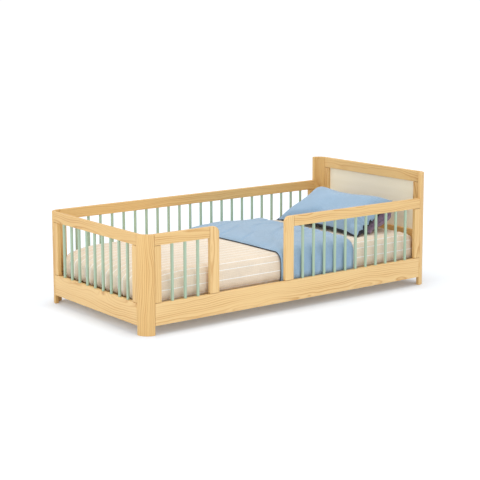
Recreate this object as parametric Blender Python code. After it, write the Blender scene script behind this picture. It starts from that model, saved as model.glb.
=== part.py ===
"""Low single bed for a small child, with fixed rails all round and an entry gap in the front rail.

Frame: the origin is on the floor, under the middle of the bed.  +X runs from the foot end to the
head end, +Y from the open front side to the back side, +Z up.  Everything is in metres.
"""
import math

import bmesh
import bpy
from mathutils import Matrix, Vector

# ---------------------------------------------------------------- driving dimensions
LENGTH = 1.980              # over the outer faces of the end panels
WIDTH = 0.967               # over the outer faces of the side panels
BOARD = 0.022               # thickness of every panel member and of the post shells
POST_RADIUS = 0.067         # outer radius of the quarter-round corner posts
GAP = 0.0003                # clearance left between pieces that touch
CHAMFER = 0.002             # softened edges of the boards

RAIL_BOTTOM = 0.049         # underside of the bottom rails
RAIL_TOP = 0.164            # top of the bottom rails
GUARD_RAIL = 0.457          # underside of the top rails
GUARD_TOP = 0.515           # top of the guards and of the foot posts
HEAD_BOARD_TOP = 0.313      # top of the headboard's lower board
HEAD_RAIL = 0.600           # underside of the headboard's top rail
HEAD_TOP = 0.664            # top of the headboard and of the head posts

STILE = 0.039               # width of the stiles beside the posts
FREE_STILE = 0.058          # width of the two guard stiles beside the entry gap
SHORT_GUARD_END = 0.464     # foot end to the entry gap
LONG_GUARD_START = 0.905    # foot end to the far side of the entry gap
CORNER_RADIUS = 0.034       # rounded upper corners beside the entry gap

SPINDLE_RADIUS = 0.008
SPINDLE_SIDES = 10
FILLET = (0.008, 0.006)     # width and depth of the groove strips that hold a row of spindles
FILLET_PROUD = 0.001        # how far a strip stands out of its rail's groove
FOOT_SPINDLE_PITCH = 0.080

PANEL = 0.006               # thickness of the painted headboard panel
PANEL_LAP = 0.010           # width of the panel's edge that sits in the rebate
PANEL_BACK = 0.001          # the panel's outer face lies this far inside the frame's

MATTRESS = (1.880, 0.880, 0.170)    # standard single child's mattress
SLAT_COUNT = 12
SLAT = (0.090, 0.012)       # width and thickness
SLAT_BOTTOM = 0.123
SLAT_END_SPACE = 0.050      # from the end panels' inner faces to the first and the last slat
LEDGER = (0.025, 0.040)     # thickness and height of the side battens that carry the slats
LEDGER_END_SPACE = 0.045    # the ledgers stop short of the hollow posts
BEAM = (0.036, 0.050)       # centre beam width and height
CLEAT = (0.030, 0.120)      # depth and width of the blocks under the beam's ends
LEG = 0.040                 # side of the square centre legs
LEG_SPREAD = 0.330          # distance of each centre leg from the bed's middle
BOLT_HEIGHT = 0.106         # height of the draw-bolts that hold the side panels to the posts
CAM_SIDES = 12

DUVET_SPAN = (0.900, 1.430)         # where the folded duvet lies, from the foot end
DUVET = (0.034, 0.016)              # thickness on the bed, and where it hangs beside the mattress
DUVET_HEMS = (0.140, 0.200)         # heights of its front and back hems
BLUE_PILLOW_ENDS = (0.105, 0.795)   # ends of each pillow, from the bed's front face
MAUVE_PILLOW_ENDS = (0.125, 0.775)
# Side views of the pillows: (distance from the foot end, height) round each one.
BLUE_PILLOW = [(1.470, 0.335), (1.488, 0.3085), (1.600, 0.3085), (1.680, 0.352), (1.760, 0.402),
               (1.830, 0.455), (1.868, 0.492), (1.850, 0.513), (1.800, 0.520), (1.720, 0.502),
               (1.640, 0.466), (1.560, 0.420), (1.500, 0.375)]
MAUVE_PILLOW = [(1.640, 0.3085), (1.925, 0.3085), (1.945, 0.335), (1.948, 0.400), (1.930, 0.440),
                (1.880, 0.452), (1.830, 0.443), (1.760, 0.391), (1.680, 0.340)]

# ---------------------------------------------------------------- derived places
FOOT, HEAD = -LENGTH / 2, LENGTH / 2
FRONT, BACK = -WIDTH / 2, WIDTH / 2
INNER_FOOT, INNER_HEAD = FOOT + BOARD, HEAD - BOARD
INNER_FRONT, INNER_BACK = FRONT + BOARD, BACK - BOARD
RAIL_ENDS_X = (FOOT + POST_RADIUS, HEAD - POST_RADIUS)
RAIL_ENDS_Y = (FRONT + POST_RADIUS, BACK - POST_RADIUS)
SIDE_MID = {"front": FRONT + BOARD / 2, "back": BACK - BOARD / 2}
END_MID = {"foot": FOOT + BOARD / 2, "head": HEAD - BOARD / 2}
SHORT_GUARD = FOOT + SHORT_GUARD_END
LONG_GUARD = FOOT + LONG_GUARD_START
SUPPORT_TOP = SLAT_BOTTOM - GAP
SLAT_TOP = SLAT_BOTTOM + SLAT[1]
MATTRESS_BASE = SLAT_TOP + GAP
SHEET = (0.0005, 0.0015)    # the fitted sheet's inner and outer face, beyond the mattress
SHEET_TOP = MATTRESS_BASE + MATTRESS[2] + SHEET[1]

cutters = {}                # node name -> closed cutter meshes to take out of it


# ---------------------------------------------------------------- materials
def srgb(*channels):
    """Linear colour of a colour given as the eye sees it, 0 to 1."""
    return tuple(c / 12.92 if c <= 0.04045 else ((c + 0.055) / 1.055) ** 2.4 for c in channels) + (1.0,)


def material(name, colour, roughness, metallic=0.0):
    mat = bpy.data.materials.new(name)
    mat.use_nodes = True
    shader = mat.node_tree.nodes["Principled BSDF"]
    shader.inputs["Base Color"].default_value = srgb(*colour)
    shader.inputs["Roughness"].default_value = roughness
    shader.inputs["Metallic"].default_value = metallic
    return mat


FINISHES = {
    "pine": ((0.90, 0.77, 0.54), 0.50, 0.0),
    "pine_slat": ((0.86, 0.74, 0.54), 0.65, 0.0),
    "sage_paint": ((0.69, 0.79, 0.69), 0.45, 0.0),
    "cream_paint": ((0.89, 0.85, 0.76), 0.45, 0.0),
    "steel": ((0.72, 0.72, 0.70), 0.35, 1.0),
    "foam": ((0.93, 0.91, 0.86), 0.90, 0.0),
    "striped_sheet": ((0.92, 0.86, 0.78), 0.90, 0.0),
    "blue_cloth": ((0.64, 0.74, 0.87), 0.90, 0.0),
    "mauve_cloth": ((0.58, 0.50, 0.60), 0.90, 0.0),
}


# ---------------------------------------------------------------- modelling helpers
def clear_scene():
    for item in list(bpy.data.objects):
        bpy.data.objects.remove(item, do_unlink=True)


def add(name, bm, finish, place=None, smooth=False):
    """Make one named object from a bmesh, with a material of its own."""
    bmesh.ops.recalc_face_normals(bm, faces=bm.faces[:])
    mesh = bpy.data.meshes.new(name)
    bm.to_mesh(mesh)
    bm.free()
    mesh.materials.append(material(name + "_" + finish, *FINISHES[finish]))
    item = bpy.data.objects.new(name, mesh)
    item.matrix_world = place if place is not None else Matrix()
    bpy.context.scene.collection.objects.link(item)
    if smooth:
        mesh.shade_smooth()
        mesh.set_sharp_from_angle(angle=math.radians(40))
    return item


def chamfer(item, width=CHAMFER):
    bevel = item.modifiers.new("edges", "BEVEL")
    bevel.width = width
    bevel.segments = 1
    bevel.limit_method = "ANGLE"


def box(low, high):
    """Bmesh box between two corners."""
    low, high = Vector(low), Vector(high)
    bm = bmesh.new()
    place = Matrix.Translation((low + high) / 2) @ Matrix.Diagonal((*(high - low), 1.0))
    bmesh.ops.create_cube(bm, size=1.0, matrix=place)
    return bm


def board(name, low, high, finish="pine", edge=CHAMFER):
    """A sawn board between two corners, with its origin at its middle."""
    low, high = Vector(low), Vector(high)
    middle = (low + high) / 2
    item = add(name, box(low - middle, high - middle), finish, Matrix.Translation(middle))
    chamfer(item, edge)


def loft(rings):
    """Closed skin through rings of equal point count, with a flat cap on the first and the last."""
    bm = bmesh.new()
    loops = [[bm.verts.new(point) for point in ring] for ring in rings]
    count = len(loops[0])
    for lower, upper in zip(loops, loops[1:]):
        for i in range(count):
            j = (i + 1) % count
            bm.faces.new((lower[i], lower[j], upper[j], upper[i]))
    bm.faces.new(reversed(loops[0]))
    bm.faces.new(loops[-1])
    return bm


def rod(radius, start, end, sides):
    """Plain round rod between two points."""
    start, end = Vector(start), Vector(end)
    along = end - start
    turns = [2 * math.pi * (i + 0.5) / sides for i in range(sides)]
    bm = loft([[(radius * math.cos(a), radius * math.sin(a), z) for a in turns] for z in (0.0, along.length)])
    place = Matrix.Translation(start) @ along.to_track_quat("Z", "Y").to_matrix().to_4x4()
    bmesh.ops.transform(bm, matrix=place, verts=bm.verts[:])
    return bm


def join(parts):
    """One bmesh that holds the separate solids of several."""
    whole = bmesh.new()
    for part in parts:
        scratch = bpy.data.meshes.new("scratch")
        part.to_mesh(scratch)
        part.free()
        whole.from_mesh(scratch)
        bpy.data.meshes.remove(scratch)
    return whole


def boolean(item, guide, operation):
    """Join a guide object to a piece, or take it out, with a Boolean that stays on the piece."""
    guide.hide_render = True
    guide.display_type = "WIRE"
    step = item.modifiers.new(operation.lower(), "BOOLEAN")
    step.operation = operation
    step.solver = "EXACT"
    step.object = guide


def cut_from(names, make_solid):
    """Note a clearance solid, made afresh for each of the pieces that it is taken out of."""
    for name in names:
        cutters.setdefault(name, []).append(make_solid())


def make_cuts():
    """Take each piece's noted clearance solids out of it with one Boolean."""
    for name, solids in cutters.items():
        boolean(bpy.data.objects[name], add("cutter_" + name, join(solids), "steel"), "DIFFERENCE")


def rounded_rectangle(half_x, half_y, radius, steps):
    """Points of a rounded rectangle about the origin, counter-clockwise."""
    points = []
    for corner, (sx, sy) in enumerate(((1, 1), (-1, 1), (-1, -1), (1, -1))):
        for i in range(steps + 1):
            turn = math.pi / 2 * (corner + i / steps)
            points.append((sx * (half_x - radius) + radius * math.cos(turn),
                           sy * (half_y - radius) + radius * math.sin(turn)))
    return points


# ---------------------------------------------------------------- frame: corner posts
def corner_post(name, end, side, top):
    """Quarter-round shell that joins an end panel to a side panel and stands on the floor."""
    sx, sy = (1 if end == "head" else -1), (1 if side == "back" else -1)
    centre = Vector((sx * (LENGTH / 2 - POST_RADIUS), sy * (WIDTH / 2 - POST_RADIUS), 0.0))
    steps = 8
    margin = GAP / POST_RADIUS
    turns = [margin + (math.pi / 2 - 2 * margin) * i / steps for i in range(steps + 1)]
    outer, inner = POST_RADIUS, POST_RADIUS - BOARD
    outline = [(sx * outer * math.cos(a), sy * outer * math.sin(a)) for a in turns]
    outline += [(sx * inner * math.cos(a), sy * inner * math.sin(a)) for a in reversed(turns)]
    bm = loft([[(x, y, z) for x, y in outline] for z in (0.0, top)])
    chamfer(add(name, bm, "pine", Matrix.Translation(centre)), 0.0015)


# ---------------------------------------------------------------- frame: joints between pieces
def draw_bolt(rail, end, side):
    """Cam in the rail's inner face that draws a steel bolt screwed into the post's end grain."""
    sx, sy = (1 if end == "head" else -1), (1 if side == "back" else -1)
    corner = end + "_" + side
    cam_radius, cam_depth, setback, grip = 0.0075, 0.0125, 0.034, 0.018
    bolt_radius, slack = 0.003, 0.0004
    joint = sx * (LENGTH / 2 - POST_RADIUS)
    cam_x = joint - sx * setback
    face = sy * (WIDTH / 2 - BOARD)

    def in_rail(depth):
        return Vector((cam_x, face + sy * depth, BOLT_HEIGHT))

    def along(x):
        return Vector((x, SIDE_MID[side], BOLT_HEIGHT))

    add("bolt_cam_" + corner, rod(cam_radius, in_rail(GAP), in_rail(cam_depth), CAM_SIDES), "steel", smooth=True)
    cut_from([rail], lambda: rod(cam_radius + slack, in_rail(-0.002), in_rail(cam_depth + GAP), CAM_SIDES))
    tail, tip = cam_x + sx * (cam_radius + 2 * slack), joint + sx * grip
    add("draw_bolt_" + corner, rod(bolt_radius, along(tail), along(tip), 10), "steel", smooth=True)
    hole = bolt_radius + slack
    cut_from([corner.replace("_", "_post_")], lambda: rod(hole, along(tail), along(tip + sx * GAP), 10))
    inlet, outlet = cam_x + sx * (cam_radius - 0.001), joint + sx * 0.002
    cut_from([rail], lambda: rod(hole, along(inlet), along(outlet), 10))


# ---------------------------------------------------------------- frame: panels
def even_row(start, end, count):
    """Centres of spindles with equal clear gaps between two stile faces."""
    clear = (end - start - 2 * SPINDLE_RADIUS * count) / (count + 1)
    pitch = clear + 2 * SPINDLE_RADIUS
    return [start + clear + SPINDLE_RADIUS + pitch * i for i in range(count)]


def spindles(name, places, lower, upper):
    """A row of round spindles held by a strip in a groove of the bottom rail and of the top rail."""
    half, reach = FILLET[0] / 2, SPINDLE_RADIUS
    side = Vector((half, reach, 0)) if places[0][0] == places[-1][0] else Vector((reach, half, 0))
    first, last = Vector((*places[0], 0)), Vector((*places[-1], 0))

    def strip(extra, z_low, z_high):
        slack = Vector((extra, extra, 0))
        return box(first - side - slack + Vector((0, 0, z_low)), last + side + slack + Vector((0, 0, z_high)))

    deep, proud = FILLET[1], FILLET_PROUD
    strips = [strip(0, RAIL_TOP - deep, RAIL_TOP + proud), strip(0, GUARD_RAIL - proud, GUARD_RAIL + deep)]
    row = add(name, join(strips), "sage_paint", smooth=True)
    low, high = RAIL_TOP + GAP, GUARD_RAIL - GAP
    rods = [rod(SPINDLE_RADIUS, (x, y, low), (x, y, high), SPINDLE_SIDES) for x, y in places]
    guide = add("guide_" + name, join(rods), "sage_paint", smooth=True)
    boolean(row, guide, "UNION")
    cut_from([lower], lambda: strip(GAP, RAIL_TOP - deep - GAP, RAIL_TOP + 0.002))
    cut_from([upper], lambda: strip(GAP, GUARD_RAIL - 0.002, GUARD_RAIL + deep + GAP))


def free_stile(name, x_low, x_high, round_at):
    """Guard stile beside the entry gap, with its outer top corner rounded."""
    low, high = RAIL_TOP + GAP, GUARD_TOP
    steps, radius = 6, CORNER_RADIUS
    turns = [math.pi / 2 * i / steps for i in range(steps + 1)]
    arc = [(radius * math.cos(a), radius * math.sin(a)) for a in turns]
    outline = [(x_low, low), (x_high, low)]
    if round_at == "high":
        outline += [(x_high - radius + x, high - radius + z) for x, z in arc]
        outline.append((x_low, high))
    else:
        outline.append((x_high, high))
        outline += [(x_low + radius - x, high - radius + z) for x, z in reversed(arc)]
    place = Vector(((x_low + x_high) / 2, SIDE_MID["front"], low))
    bm = loft([[(x - place.x, y, z - low) for x, z in outline] for y in (-BOARD / 2, BOARD / 2)])
    chamfer(add(name, bm, "pine", Matrix.Translation(place)))


def side_board(name, side, x_span, z_span):
    y = SIDE_MID[side]
    return board(name, (x_span[0], y - BOARD / 2, z_span[0]), (x_span[1], y + BOARD / 2, z_span[1]))


def end_board(name, end, y_span, z_span):
    x = END_MID[end]
    return board(name, (x - BOARD / 2, y_span[0], z_span[0]), (x + BOARD / 2, y_span[1], z_span[1]))


def back_side():
    start, end = RAIL_ENDS_X
    between = (RAIL_TOP + GAP, GUARD_RAIL - GAP)
    side_board("back_bottom_rail", "back", (start, end), (RAIL_BOTTOM, RAIL_TOP))
    side_board("back_top_rail", "back", (start, end), (GUARD_RAIL, GUARD_TOP))
    side_board("back_stile_foot", "back", (start, start + STILE), between)
    side_board("back_stile_head", "back", (end - STILE, end), between)
    row = even_row(start + STILE, end - STILE, 22)
    spindles("back_spindles", [(x, SIDE_MID["back"]) for x in row], "back_bottom_rail", "back_top_rail")


def front_side():
    start, end = RAIL_ENDS_X
    between = (RAIL_TOP + GAP, GUARD_RAIL - GAP)
    upper = (GUARD_RAIL, GUARD_TOP)
    side_board("front_bottom_rail", "front", (start, end), (RAIL_BOTTOM, RAIL_TOP))

    inner = SHORT_GUARD - FREE_STILE
    side_board("short_guard_end_stile", "front", (start, start + STILE), between)
    side_board("short_guard_top_rail", "front", (start, inner - GAP), upper)
    free_stile("short_guard_free_stile", inner, SHORT_GUARD, "high")
    row = even_row(start + STILE, inner, 3)
    spindles("short_guard_spindles", [(x, SIDE_MID["front"]) for x in row],
             "front_bottom_rail", "short_guard_top_rail")

    inner = LONG_GUARD + FREE_STILE
    side_board("long_guard_end_stile", "front", (end - STILE, end), between)
    side_board("long_guard_top_rail", "front", (inner + GAP, end), upper)
    free_stile("long_guard_free_stile", LONG_GUARD, inner, "low")
    row = even_row(inner, end - STILE, 11)
    spindles("long_guard_spindles", [(x, SIDE_MID["front"]) for x in row],
             "front_bottom_rail", "long_guard_top_rail")


def foot_end():
    start, end = RAIL_ENDS_Y
    between = (RAIL_TOP + GAP, GUARD_RAIL - GAP)
    end_board("foot_bottom_rail", "foot", (start, end), (RAIL_BOTTOM, RAIL_TOP))
    end_board("foot_top_rail", "foot", (start, end), (GUARD_RAIL, GUARD_TOP))
    end_board("foot_stile_front", "foot", (start, start + STILE), between)
    end_board("foot_stile_back", "foot", (end - STILE, end), between)
    count = 9
    row = [FOOT_SPINDLE_PITCH * (i - (count - 1) / 2) for i in range(count)]
    spindles("foot_spindles", [(END_MID["foot"], y) for y in row], "foot_bottom_rail", "foot_top_rail")


def head_end():
    start, end = RAIL_ENDS_Y
    between = (HEAD_BOARD_TOP + GAP, HEAD_RAIL - GAP)
    names = ["head_lower_board", "head_top_rail", "head_stile_front", "head_stile_back"]
    end_board(names[0], "head", (start, end), (RAIL_BOTTOM, HEAD_BOARD_TOP))
    end_board(names[1], "head", (start, end), (HEAD_RAIL, HEAD_TOP))
    end_board(names[2], "head", (start, start + STILE), between)
    end_board(names[3], "head", (end - STILE, end), between)
    outer = HEAD - PANEL_BACK
    low = Vector((outer - PANEL, start + STILE - PANEL_LAP, HEAD_BOARD_TOP - PANEL_LAP))
    high = Vector((outer, end - STILE + PANEL_LAP, HEAD_RAIL + PANEL_LAP))
    board("head_panel", low, high, "cream_paint", 0.0005)
    slack = Vector((GAP, GAP, GAP))
    cut_from(names, lambda: box(low - slack, high + slack + Vector((0.004, 0, 0))))


# ---------------------------------------------------------------- mattress support
def support():
    thick, tall = LEDGER
    start, end = INNER_FOOT + LEDGER_END_SPACE, INNER_HEAD - LEDGER_END_SPACE
    for side, inner, out in (("front", INNER_FRONT, -1), ("back", INNER_BACK, 1)):
        near, far = inner - out * GAP, inner - out * (GAP + thick)
        board(side + "_ledger", (start, min(near, far), SUPPORT_TOP - tall),
              (end, max(near, far), SUPPORT_TOP), "pine_slat")

    half, beam_low = BEAM[0] / 2, SUPPORT_TOP - BEAM[1]
    board("centre_beam", (INNER_FOOT + GAP, -half, beam_low),
          (INNER_HEAD - GAP, half, SUPPORT_TOP), "pine_slat")
    depth, width = CLEAT
    for end, inner, out in (("foot", INNER_FOOT, -1), ("head", INNER_HEAD, 1)):
        near, far = inner - out * GAP, inner - out * (GAP + depth)
        board(end + "_beam_cleat", (min(near, far), -width / 2, RAIL_BOTTOM),
              (max(near, far), width / 2, beam_low - GAP), "pine_slat")
    for end, x in (("foot", -LEG_SPREAD), ("head", LEG_SPREAD)):
        board(end + "_centre_leg", (x - LEG / 2, -LEG / 2, 0.0),
              (x + LEG / 2, LEG / 2, beam_low - GAP), "pine_slat")


def slats():
    width = SLAT[0]
    play = 0.001            # clearance between a slat's end and the side panel
    first, last = INNER_FOOT + SLAT_END_SPACE + width / 2, INNER_HEAD - SLAT_END_SPACE - width / 2
    for i in range(SLAT_COUNT):
        x = first + (last - first) * i / (SLAT_COUNT - 1)
        board("slat_%02d" % (i + 1), (x - width / 2, INNER_FRONT + play, SLAT_BOTTOM),
              (x + width / 2, INNER_BACK - play, SLAT_TOP), "pine_slat")


# ---------------------------------------------------------------- soft goods
def slab_rings(grow, base, round_base):
    """Rings of the mattress's rounded shape from a base height up, grown on its sides and top."""
    half_x, half_y = MATTRESS[0] / 2 + grow, MATTRESS[1] / 2 + grow
    top = MATTRESS_BASE + MATTRESS[2] + grow
    corner, edge, steps = 0.040 + grow, 0.022 + grow, 3
    turns = [math.pi / 2 * i / steps for i in range(steps + 1)]
    stages = [(0.0, base)]
    if round_base:
        stages = [(edge * (1 - math.sin(a)), base + edge * (1 - math.cos(a))) for a in turns]
    stages += [(edge * (1 - math.cos(a)), top - edge * (1 - math.sin(a))) for a in turns]
    rings = []
    for inset, height in stages:
        outline = rounded_rectangle(half_x - inset, half_y - inset, corner - inset, steps)
        rings.append([(x, y, height) for x, y in outline])
    return rings


def mattress_and_sheet():
    """Foam mattress, and a fitted sheet over its top and sides."""
    add("mattress", loft(slab_rings(0.0, MATTRESS_BASE, True)), "foam", smooth=True)
    hem = MATTRESS_BASE + 0.004
    inner, outer = slab_rings(SHEET[0], hem, False), slab_rings(SHEET[1], hem, False)
    add("fitted_sheet", loft(list(reversed(inner)) + outer), "striped_sheet", smooth=True)


def duvet():
    """Folded duvet across the bed: it lies on the sheet and hangs down both sides."""
    clear = 0.0007          # kept between the duvet and the sheet
    side = (WIDTH - MATTRESS[1]) / 2 - SHEET[1] - clear
    front, back, top = FRONT + side, BACK - side, SHEET_TOP + clear
    thick, drop = DUVET
    front_hem, back_hem = DUVET_HEMS
    steps = 5
    turns = [math.pi / 2 * i / steps for i in range(steps + 1)]

    def bend(radius, edge, height, lean):
        """Arc from a vertical face at edge to a level face at height; lean is +1 at the front."""
        return [(edge + lean * radius * (1 - math.cos(a)), height - radius * (1 - math.sin(a))) for a in turns]

    over, under = 0.034, 0.018          # bend radii of its upper and its under side
    section = [(front - drop, front_hem)]
    section += bend(over, front - drop, top + thick, 1)
    section += reversed(bend(over, back + drop, top + thick, -1))
    section += [(back + drop, back_hem), (back, back_hem)]
    section += bend(under, back, top, -1)
    section += reversed(bend(under, front, top, 1))
    section.append((front, front_hem))
    skins = [[(FOOT + x, y, z) for y, z in section] for x in DUVET_SPAN]
    add("duvet", loft(skins), "blue_cloth", smooth=True)


def pillow(name, side_view, ends, finish):
    """Pillow lying along Y, whose side view shrinks towards its middle at both ends."""
    middle_x = sum(x for x, z in side_view) / len(side_view)
    middle_z = sum(z for x, z in side_view) / len(side_view)
    near, far = ends
    shrink = ((0.0, 0.45), (0.012, 0.72), (0.040, 0.92), (0.090, 1.0))
    stations = [(near + inset, scale) for inset, scale in shrink]
    stations += [(far - inset, scale) for inset, scale in reversed(shrink)]
    skins = [[(FOOT + middle_x + (x - middle_x) * scale, FRONT + y, middle_z + (z - middle_z) * scale)
              for x, z in side_view] for y, scale in stations]
    add(name, loft(skins), finish, smooth=True)


# ---------------------------------------------------------------- the whole bed
clear_scene()
for post_end, post_top in (("foot", GUARD_TOP), ("head", HEAD_TOP)):
    for post_side in ("front", "back"):
        corner_post(post_end + "_post_" + post_side, post_end, post_side, post_top)
        draw_bolt(post_side + "_bottom_rail", post_end, post_side)
foot_end()
head_end()
front_side()
back_side()
support()
slats()
mattress_and_sheet()
duvet()
pillow("blue_pillow", BLUE_PILLOW, BLUE_PILLOW_ENDS, "blue_cloth")
pillow("mauve_pillow", MAUVE_PILLOW, MAUVE_PILLOW_ENDS, "mauve_cloth")
make_cuts()
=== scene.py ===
"""Low child's bed in pine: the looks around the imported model, laid out as a Blender add-on.

Frame: the origin is on the floor under the bed's middle.  +X runs from the foot end to the head
end, +Y from the open front side to the back side, +Z up.  Everything is in metres.
"""
import math
import random

import bmesh
import bpy
import numpy as np
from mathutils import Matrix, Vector, noise


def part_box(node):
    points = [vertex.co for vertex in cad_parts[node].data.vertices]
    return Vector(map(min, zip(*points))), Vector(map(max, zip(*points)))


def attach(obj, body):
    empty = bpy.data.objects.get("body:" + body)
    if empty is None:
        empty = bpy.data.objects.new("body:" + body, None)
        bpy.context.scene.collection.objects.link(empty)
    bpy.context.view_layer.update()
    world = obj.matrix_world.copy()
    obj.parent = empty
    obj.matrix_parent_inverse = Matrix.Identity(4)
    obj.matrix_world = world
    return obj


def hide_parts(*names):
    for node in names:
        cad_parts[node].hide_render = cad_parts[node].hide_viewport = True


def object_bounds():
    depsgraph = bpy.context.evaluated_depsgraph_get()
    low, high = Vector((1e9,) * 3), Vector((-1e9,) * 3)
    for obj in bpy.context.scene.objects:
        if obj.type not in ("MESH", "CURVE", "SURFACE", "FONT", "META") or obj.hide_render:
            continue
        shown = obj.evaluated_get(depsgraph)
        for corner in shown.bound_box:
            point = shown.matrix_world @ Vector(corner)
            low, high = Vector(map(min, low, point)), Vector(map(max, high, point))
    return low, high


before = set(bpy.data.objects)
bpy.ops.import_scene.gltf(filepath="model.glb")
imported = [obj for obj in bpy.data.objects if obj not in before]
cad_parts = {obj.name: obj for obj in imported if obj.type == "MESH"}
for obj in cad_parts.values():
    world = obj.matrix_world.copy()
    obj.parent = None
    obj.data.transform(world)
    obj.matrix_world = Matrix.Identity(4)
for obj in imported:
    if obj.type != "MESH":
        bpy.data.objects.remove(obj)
CAD_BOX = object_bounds()

bl_info = {
    "name": "Low child's bed",
    "version": (1, 0, 0),
    "blender": (4, 5, 0),
    "location": "3D View > Sidebar > Child's bed",
    "description": "Builds a low child's bed in pine, with painted spindles and made-up bedding",
    "category": "Add Mesh",
}

ROOT = "root"
MATTRESS_LOW, MATTRESS_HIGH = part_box("mattress")
SHEET_LOW, SHEET_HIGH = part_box("fitted_sheet")
DUVET_LOW, DUVET_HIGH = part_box("duvet")
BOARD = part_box("front_bottom_rail")[1].y - CAD_BOX[0].y     # thickness of every board

# Boards that show: how much deeper than the lightest board each one's tone is.
BOARDS = {
    "foot_top_rail": 0.55, "foot_bottom_rail": 0.20,
    "foot_stile_front": 0.35, "foot_stile_back": 0.45,
    "head_top_rail": 0.40, "head_lower_board": 0.65,
    "head_stile_front": 0.45, "head_stile_back": 0.40,
    "front_bottom_rail": 0.10,
    "short_guard_end_stile": 0.36, "short_guard_top_rail": 0.34,
    "long_guard_end_stile": 0.30, "long_guard_top_rail": 0.30,
    "back_top_rail": 0.45, "back_bottom_rail": 0.50,
    "back_stile_foot": 0.55, "back_stile_head": 0.55,
}
POSTS = {"foot_post_front": 0.48, "foot_post_back": 0.60,
         "head_post_front": 0.40, "head_post_back": 0.65}
FREE_STILES = {"short_guard_free_stile": 1, "long_guard_free_stile": -1}    # way to the gap
FREE_STILE_TONE, SUPPORT_TONE, SLAT_TONE = 0.15, 0.35, 0.3
SUPPORTS = ("front_ledger", "back_ledger", "centre_beam", "foot_beam_cleat", "head_beam_cleat",
            "foot_centre_leg", "head_centre_leg")
SLATS = ["slat_%02d" % (i + 1) for i in range(12)]
ROWS = {"foot_spindles": 9, "back_spindles": 22, "short_guard_spindles": 3,
        "long_guard_spindles": 11}
METAL = [kind + end + side for kind in ("bolt_cam", "draw_bolt") for end in ("_foot", "_head")
         for side in ("_front", "_back")]
# Knots: how far along and across from the middle of each board's broad face.
KNOTS = {"foot_bottom_rail": (-0.095, 0.049), "back_bottom_rail": (0.41, 0.012),
         "head_lower_board": (0.16, -0.03), "centre_beam": (-0.35, 0.01),
         "slat_pattern": (0.13, -0.012)}
NO_KNOT = (9.0, 9.0)
# The sheet's cloth: where its stripes start, and the finer stripes between the broad ones.
STRIPE_PHASE, FINE_STRIPES, FINE_STRIPE_COLOUR = 0.0193, 6, (0.45, 0.32, 0.24, 1.0)


# ---------------------------------------------------------------- settings
def colour(name, description, r, g, b):
    return bpy.props.FloatVectorProperty(name=name, description=description, subtype="COLOR",
                                         size=3, min=0.0, max=1.0, default=(r, g, b))


def length(name, description, default):
    return bpy.props.FloatProperty(name=name, description=description, subtype="DISTANCE",
                                   unit="LENGTH", min=0.0, default=default, precision=4)


class BedFinishes(bpy.types.PropertyGroup):
    """Colours of the bed and the bedding."""
    pine: colour("Pine", "Early wood between the growth lines", 0.885, 0.622, 0.292)
    pine_line: colour("Growth lines", "Late wood, the darker lines", 0.600, 0.300, 0.085)
    knot: colour("Knots", "Heart of the knots", 0.430, 0.170, 0.045)
    sage: colour("Spindles", "Paint of the spindles", 0.400, 0.530, 0.385)
    cream: colour("Head panel", "Paint of the headboard's panel", 0.985, 0.910, 0.715)
    sheet: colour("Sheet", "Ground of the fitted sheet", 0.850, 0.725, 0.570)
    stripe: colour("Stripes", "Woven stripes of the fitted sheet", 0.980, 0.950, 0.900)
    blue: colour("Blue cloth", "Upper side of duvet and front pillow", 0.300, 0.445, 0.600)
    # The dark cloth's near-black is partly its own navy and partly painted shade, standing for the
    # shadow under the pillows and along the duvet's edge.
    navy_and_shade: colour("Dark cloth", "Under side and edging of both", 0.014, 0.016, 0.030)
    mauve: colour("Mauve cloth", "Back pillow", 0.300, 0.210, 0.330)


class BedSizes(bpy.types.PropertyGroup):
    """Sizes of the details."""
    edge: length("Board edges", "Radius of the boards' softened edges", 0.0022)
    spindle: length("Spindles", "Radius of the round spindles", 0.008)
    ring: length("Growth rings", "Distance between growth rings", 0.0098)
    thread: length("Thread pitch", "Distance between the threads of the woven cloths", 0.0016)
    stripe_pitch: length("Stripe pitch", "Distance between the sheet's broad stripes", 0.054)
    stripe_width: length("Stripe width", "Width of the sheet's broad stripes", 0.0052)
    piping: length("Piping", "Radius of the cord in the bedding's edges", 0.0026)
    stitch: length("Stitch", "Length of one stitch of the hems", 0.0045)


class BedSettings(bpy.types.PropertyGroup):
    """All settings of the bed."""
    finishes: bpy.props.PointerProperty(type=BedFinishes, name="Finishes", description="Colours")
    sizes: bpy.props.PointerProperty(type=BedSizes, name="Sizes",
                                     description="Sizes of the details")


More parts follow.
